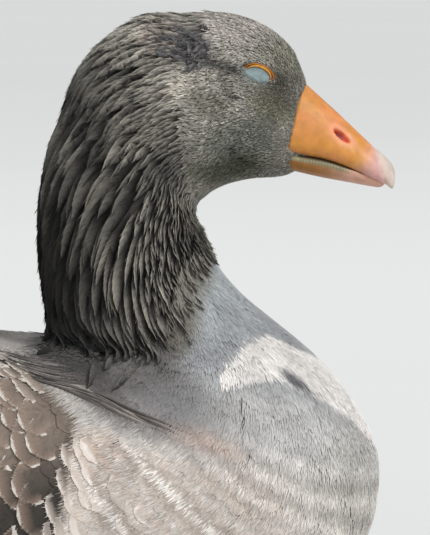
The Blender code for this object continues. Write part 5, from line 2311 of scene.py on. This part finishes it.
class Plumage:
    """All the feathers, tract by tract."""

    BLADE_ROWS = 14

    def __init__(self, sower: Sower, tailor: Tailor) -> None:
        """Keeps the roots and the tailor at hand, and mixes the finishes."""
        self.sower, self.tailor = sower, tailor
        barbs = barb_effect()
        self.finishes = {look: look.value.material(barbs) for look in Look}

    def build(self) -> None:
        """Lays every tract, and the tail."""
        for tract in TRACTS:
            if tract.spacing:
                self._lay_rows(tract)
            else:
                roots = self.sower.scattered(tract.apart, tract.seed, tract.where)
                sheaf = self.tailor.tufts(tract.cut, tract.dye, roots, tract.seed + 1)
                self._write(tract.name, sheaf, tract.look, tract.slot)
        self._tail()

    def _lay_rows(self, tract: Tract) -> None:
        """Cuts one tract's feathers and their barbs, set in rows and files."""
        roots = self.sower.rows(
            tract.apart, tract.spacing, tract.stagger, tract.jitter, tract.seed
        )
        roots = roots.kept(tract.where(roots))
        sheaf = self.tailor.vanes(tract.cut, tract.dye, roots, tract.seed + 1)
        self._write(tract.name, sheaf, tract.look, tract.slot)
        if tract.barb:
            barbs = self.tailor.barbs(tract.cut, tract.barb, roots, sheaf, tract.seed + 2)
            self._write(f"{tract.name}_barbs", barbs, Look.BARBS, tract.slot)

    def _write(self, name: str, sheaf: Sheaf, look: Look, slot: Slot) -> None:
        """Writes one sheaf as a piece, and reports it."""
        sheaf.piece(name, self.finishes[look])
        LOG.info("%s: %d triangles", name, len(sheaf.quads) * 2 + len(sheaf.triangles))

    def _tail(self) -> None:
        """The tail feathers and the wings' long points."""
        spines, flats = [], []
        for number in range(16):
            fan = (number - 7.5) / 7.5
            root = (-176.0, 22.0 * fan, 101.0 - 3.0 * abs(fan))
            tip = (-272.0 + 16.0 * fan**2, 43.0 * fan, 119.0 - 6.5 * fan**2)
            sunk = 0.175 * abs(number - 7.5)
            spines.append(self._spine(root, tip, 1.5) - np.array([0, 0, sunk]))
            flats.append([0.1, 0.25 * fan, 1.0])
        cut = Cut(95, 15, self.BLADE_ROWS, 8, 0, 0, 0.7, 0, 0.6, 0.7, 0.1, 0.05, 2.2, 0.5, 0.05, 0)
        dye = Dye(1.0, 0.9, shade=(96, 88, 82))
        sheaf = self.tailor.blades(cut, dye, np.array(spines), unit(np.array(flats)), 101)
        self._write("tail_fan", sheaf, Look.TAIL, Slot.TAIL)
        spines, flats = [], []
        for side in (1, -1):
            for back in np.arange(6) / 5:
                root = (-128.0, side * (46.0 - 12 * back), 126.0 - 3 * back)
                tip = (-222.0 - 35.0 * back, side * (31.0 - 18.0 * back), 123.5 + 5.0 * back)
                spines.append(self._spine(root, tip, 4.0))
                flats.append([0.05, side * 0.45, 1.0])
        cut = Cut(120, 15, self.BLADE_ROWS, 8, 0, 0, 0.9, 0, 0.6, 0.5, 0.45, 0.08, 2, 0.4, 0.05, 0)
        dye = Dye(1.0, 0.9, shade=(66, 61, 60))
        sheaf = self.tailor.blades(cut, dye, np.array(spines), unit(np.array(flats)), 103)
        self._write("wing_points", sheaf, Look.TAIL, Slot.WING)

    def _spine(self, root: Sequence[float], tip: Sequence[float], arch: float) -> Array:
        """A blade's spine from root to tip, arched upwards by some millimetres."""
        share = np.linspace(0, 1, self.BLADE_ROWS + 1)
        spine = np.array(root) + (np.array(tip) - np.array(root)) * share[:, None]
        spine[:, 2] += arch * np.sin(math.pi * share)
        return spine


# ---------------------------------------------------------------- the stage


@dataclass(frozen=True)
class Light:
    """One soft light: where it hangs, its size or spread, its power and its warmth.

    A distant light has no falloff; its size is the angle it fills, in radians.
    """

    name: str
    place: tuple[float, float, float]
    size: float
    power: float
    shade: tuple[float, float, float] = (1.0, 1.0, 1.0)
    distant: bool = False

    def hang(self, goal: Vector) -> None:
        """Hangs the light and turns it to its goal."""
        lamp = bpy.data.lights.new(self.name, "SUN" if self.distant else "AREA")
        if self.distant:
            lamp.angle = self.size
        else:
            lamp.shape, lamp.size = "DISK", self.size
        lamp.energy, lamp.color = self.power, self.shade
        piece = bpy.data.objects.new(self.name, lamp)
        bpy.context.collection.objects.link(piece)
        piece.location = self.place
        piece.rotation_euler = (goal - Vector(self.place)).to_track_quat("-Z", "Y").to_euler()


@dataclass(frozen=True)
class Stage:
    """The pale floor, the soft lights and the camera."""

    goal: tuple[float, float, float] = (LOOK_AT[0] * MM, 0.0, LOOK_AT[1] * MM)
    distance: float = LOOK_FROM * MM
    frame_height: float = 0.2675
    floor_half: float = 20.0
    sky: float = 0.5
    lights: tuple[Light, ...] = (
        Light("key", (2.3, -2.0, 3.0), 0.5, 2.3, (1.0, 0.985, 0.96), True),
        Light("fill", (0.6, -3.2, 1.4), 2.2, 16.0, (0.95, 0.97, 1.0)),
        Light("rim", (0.2, 2.4, 2.8), 1.6, 14.0),
    )

    def build(self) -> None:
        """Sets everything up."""
        bpy.ops.object.select_all(action="DESELECT")
        bpy.ops.mesh.primitive_grid_add(x_subdivisions=8, y_subdivisions=8, size=2.0)
        floor = bpy.context.object
        floor.name = "floor"
        floor.scale = (self.floor_half, self.floor_half, 1)
        bpy.ops.object.transform_apply(location=False, rotation=False, scale=True)
        paint = Paint("pale_floor")
        noise = paint.noise(1.5, 2.0, paint.node("TexCoord").outputs["Object"])
        shade = paint.mixed(noise, (0.70, 0.71, 0.70, 1), (0.735, 0.74, 0.73, 1))
        paint.set(Base_Color=shade, Roughness=0.85)
        floor.data.materials.append(paint.material)
        world = bpy.data.worlds.new("sky")
        world.use_nodes = True
        light = world.node_tree.nodes["Background"]
        light.inputs[0].default_value = (0.93, 0.96, 1.0, 1)
        light.inputs[1].default_value = self.sky
        scene = bpy.context.scene
        scene.world = world
        scene.view_settings.view_transform = "Standard"
        goal = Vector(self.goal)
        for light in self.lights:
            light.hang(goal)
        lens = bpy.data.cameras.new("camera")
        lens.sensor_fit, lens.sensor_width = "AUTO", 36.0
        lens.lens = 36.0 * self.distance / self.frame_height
        lens.clip_end = 100.0
        camera = bpy.data.objects.new("camera", lens)
        bpy.context.collection.objects.link(camera)
        back = Vector((0, -math.cos(LOOK_DOWN), math.sin(LOOK_DOWN)))
        camera.location = goal + self.distance * back
        camera.rotation_euler = (math.pi / 2 - LOOK_DOWN, 0, 0)
        scene.camera = camera


def main() -> None:
    """Builds the bird on its frame, piece by piece."""
    logging.basicConfig(level=logging.INFO, format="%(name)s: %(message)s")
    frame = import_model()
    nodes = frame["nodes"]
    flesh = ("head", "neck_upper", "neck_lower", "breast", "trunk", "tail", "eye_left",
             "eye_right", "wing_left", "wing_right")
    body = Body([nodes[name] for name in flesh])
    LOG.info("body mapped, %d rings", len(body.points))
    markings = Markings()
    Stage().build()
    Skin(body, markings).build()
    LOG.info("skin made")
    Bill(nodes).build()
    Eyes(body).build()
    Feet(nodes).build()
    LOG.info("bill, eyes and feet made")
    Plumage(Sower(body), Tailor(body, markings)).build()


if __name__ == "__main__":
    main()
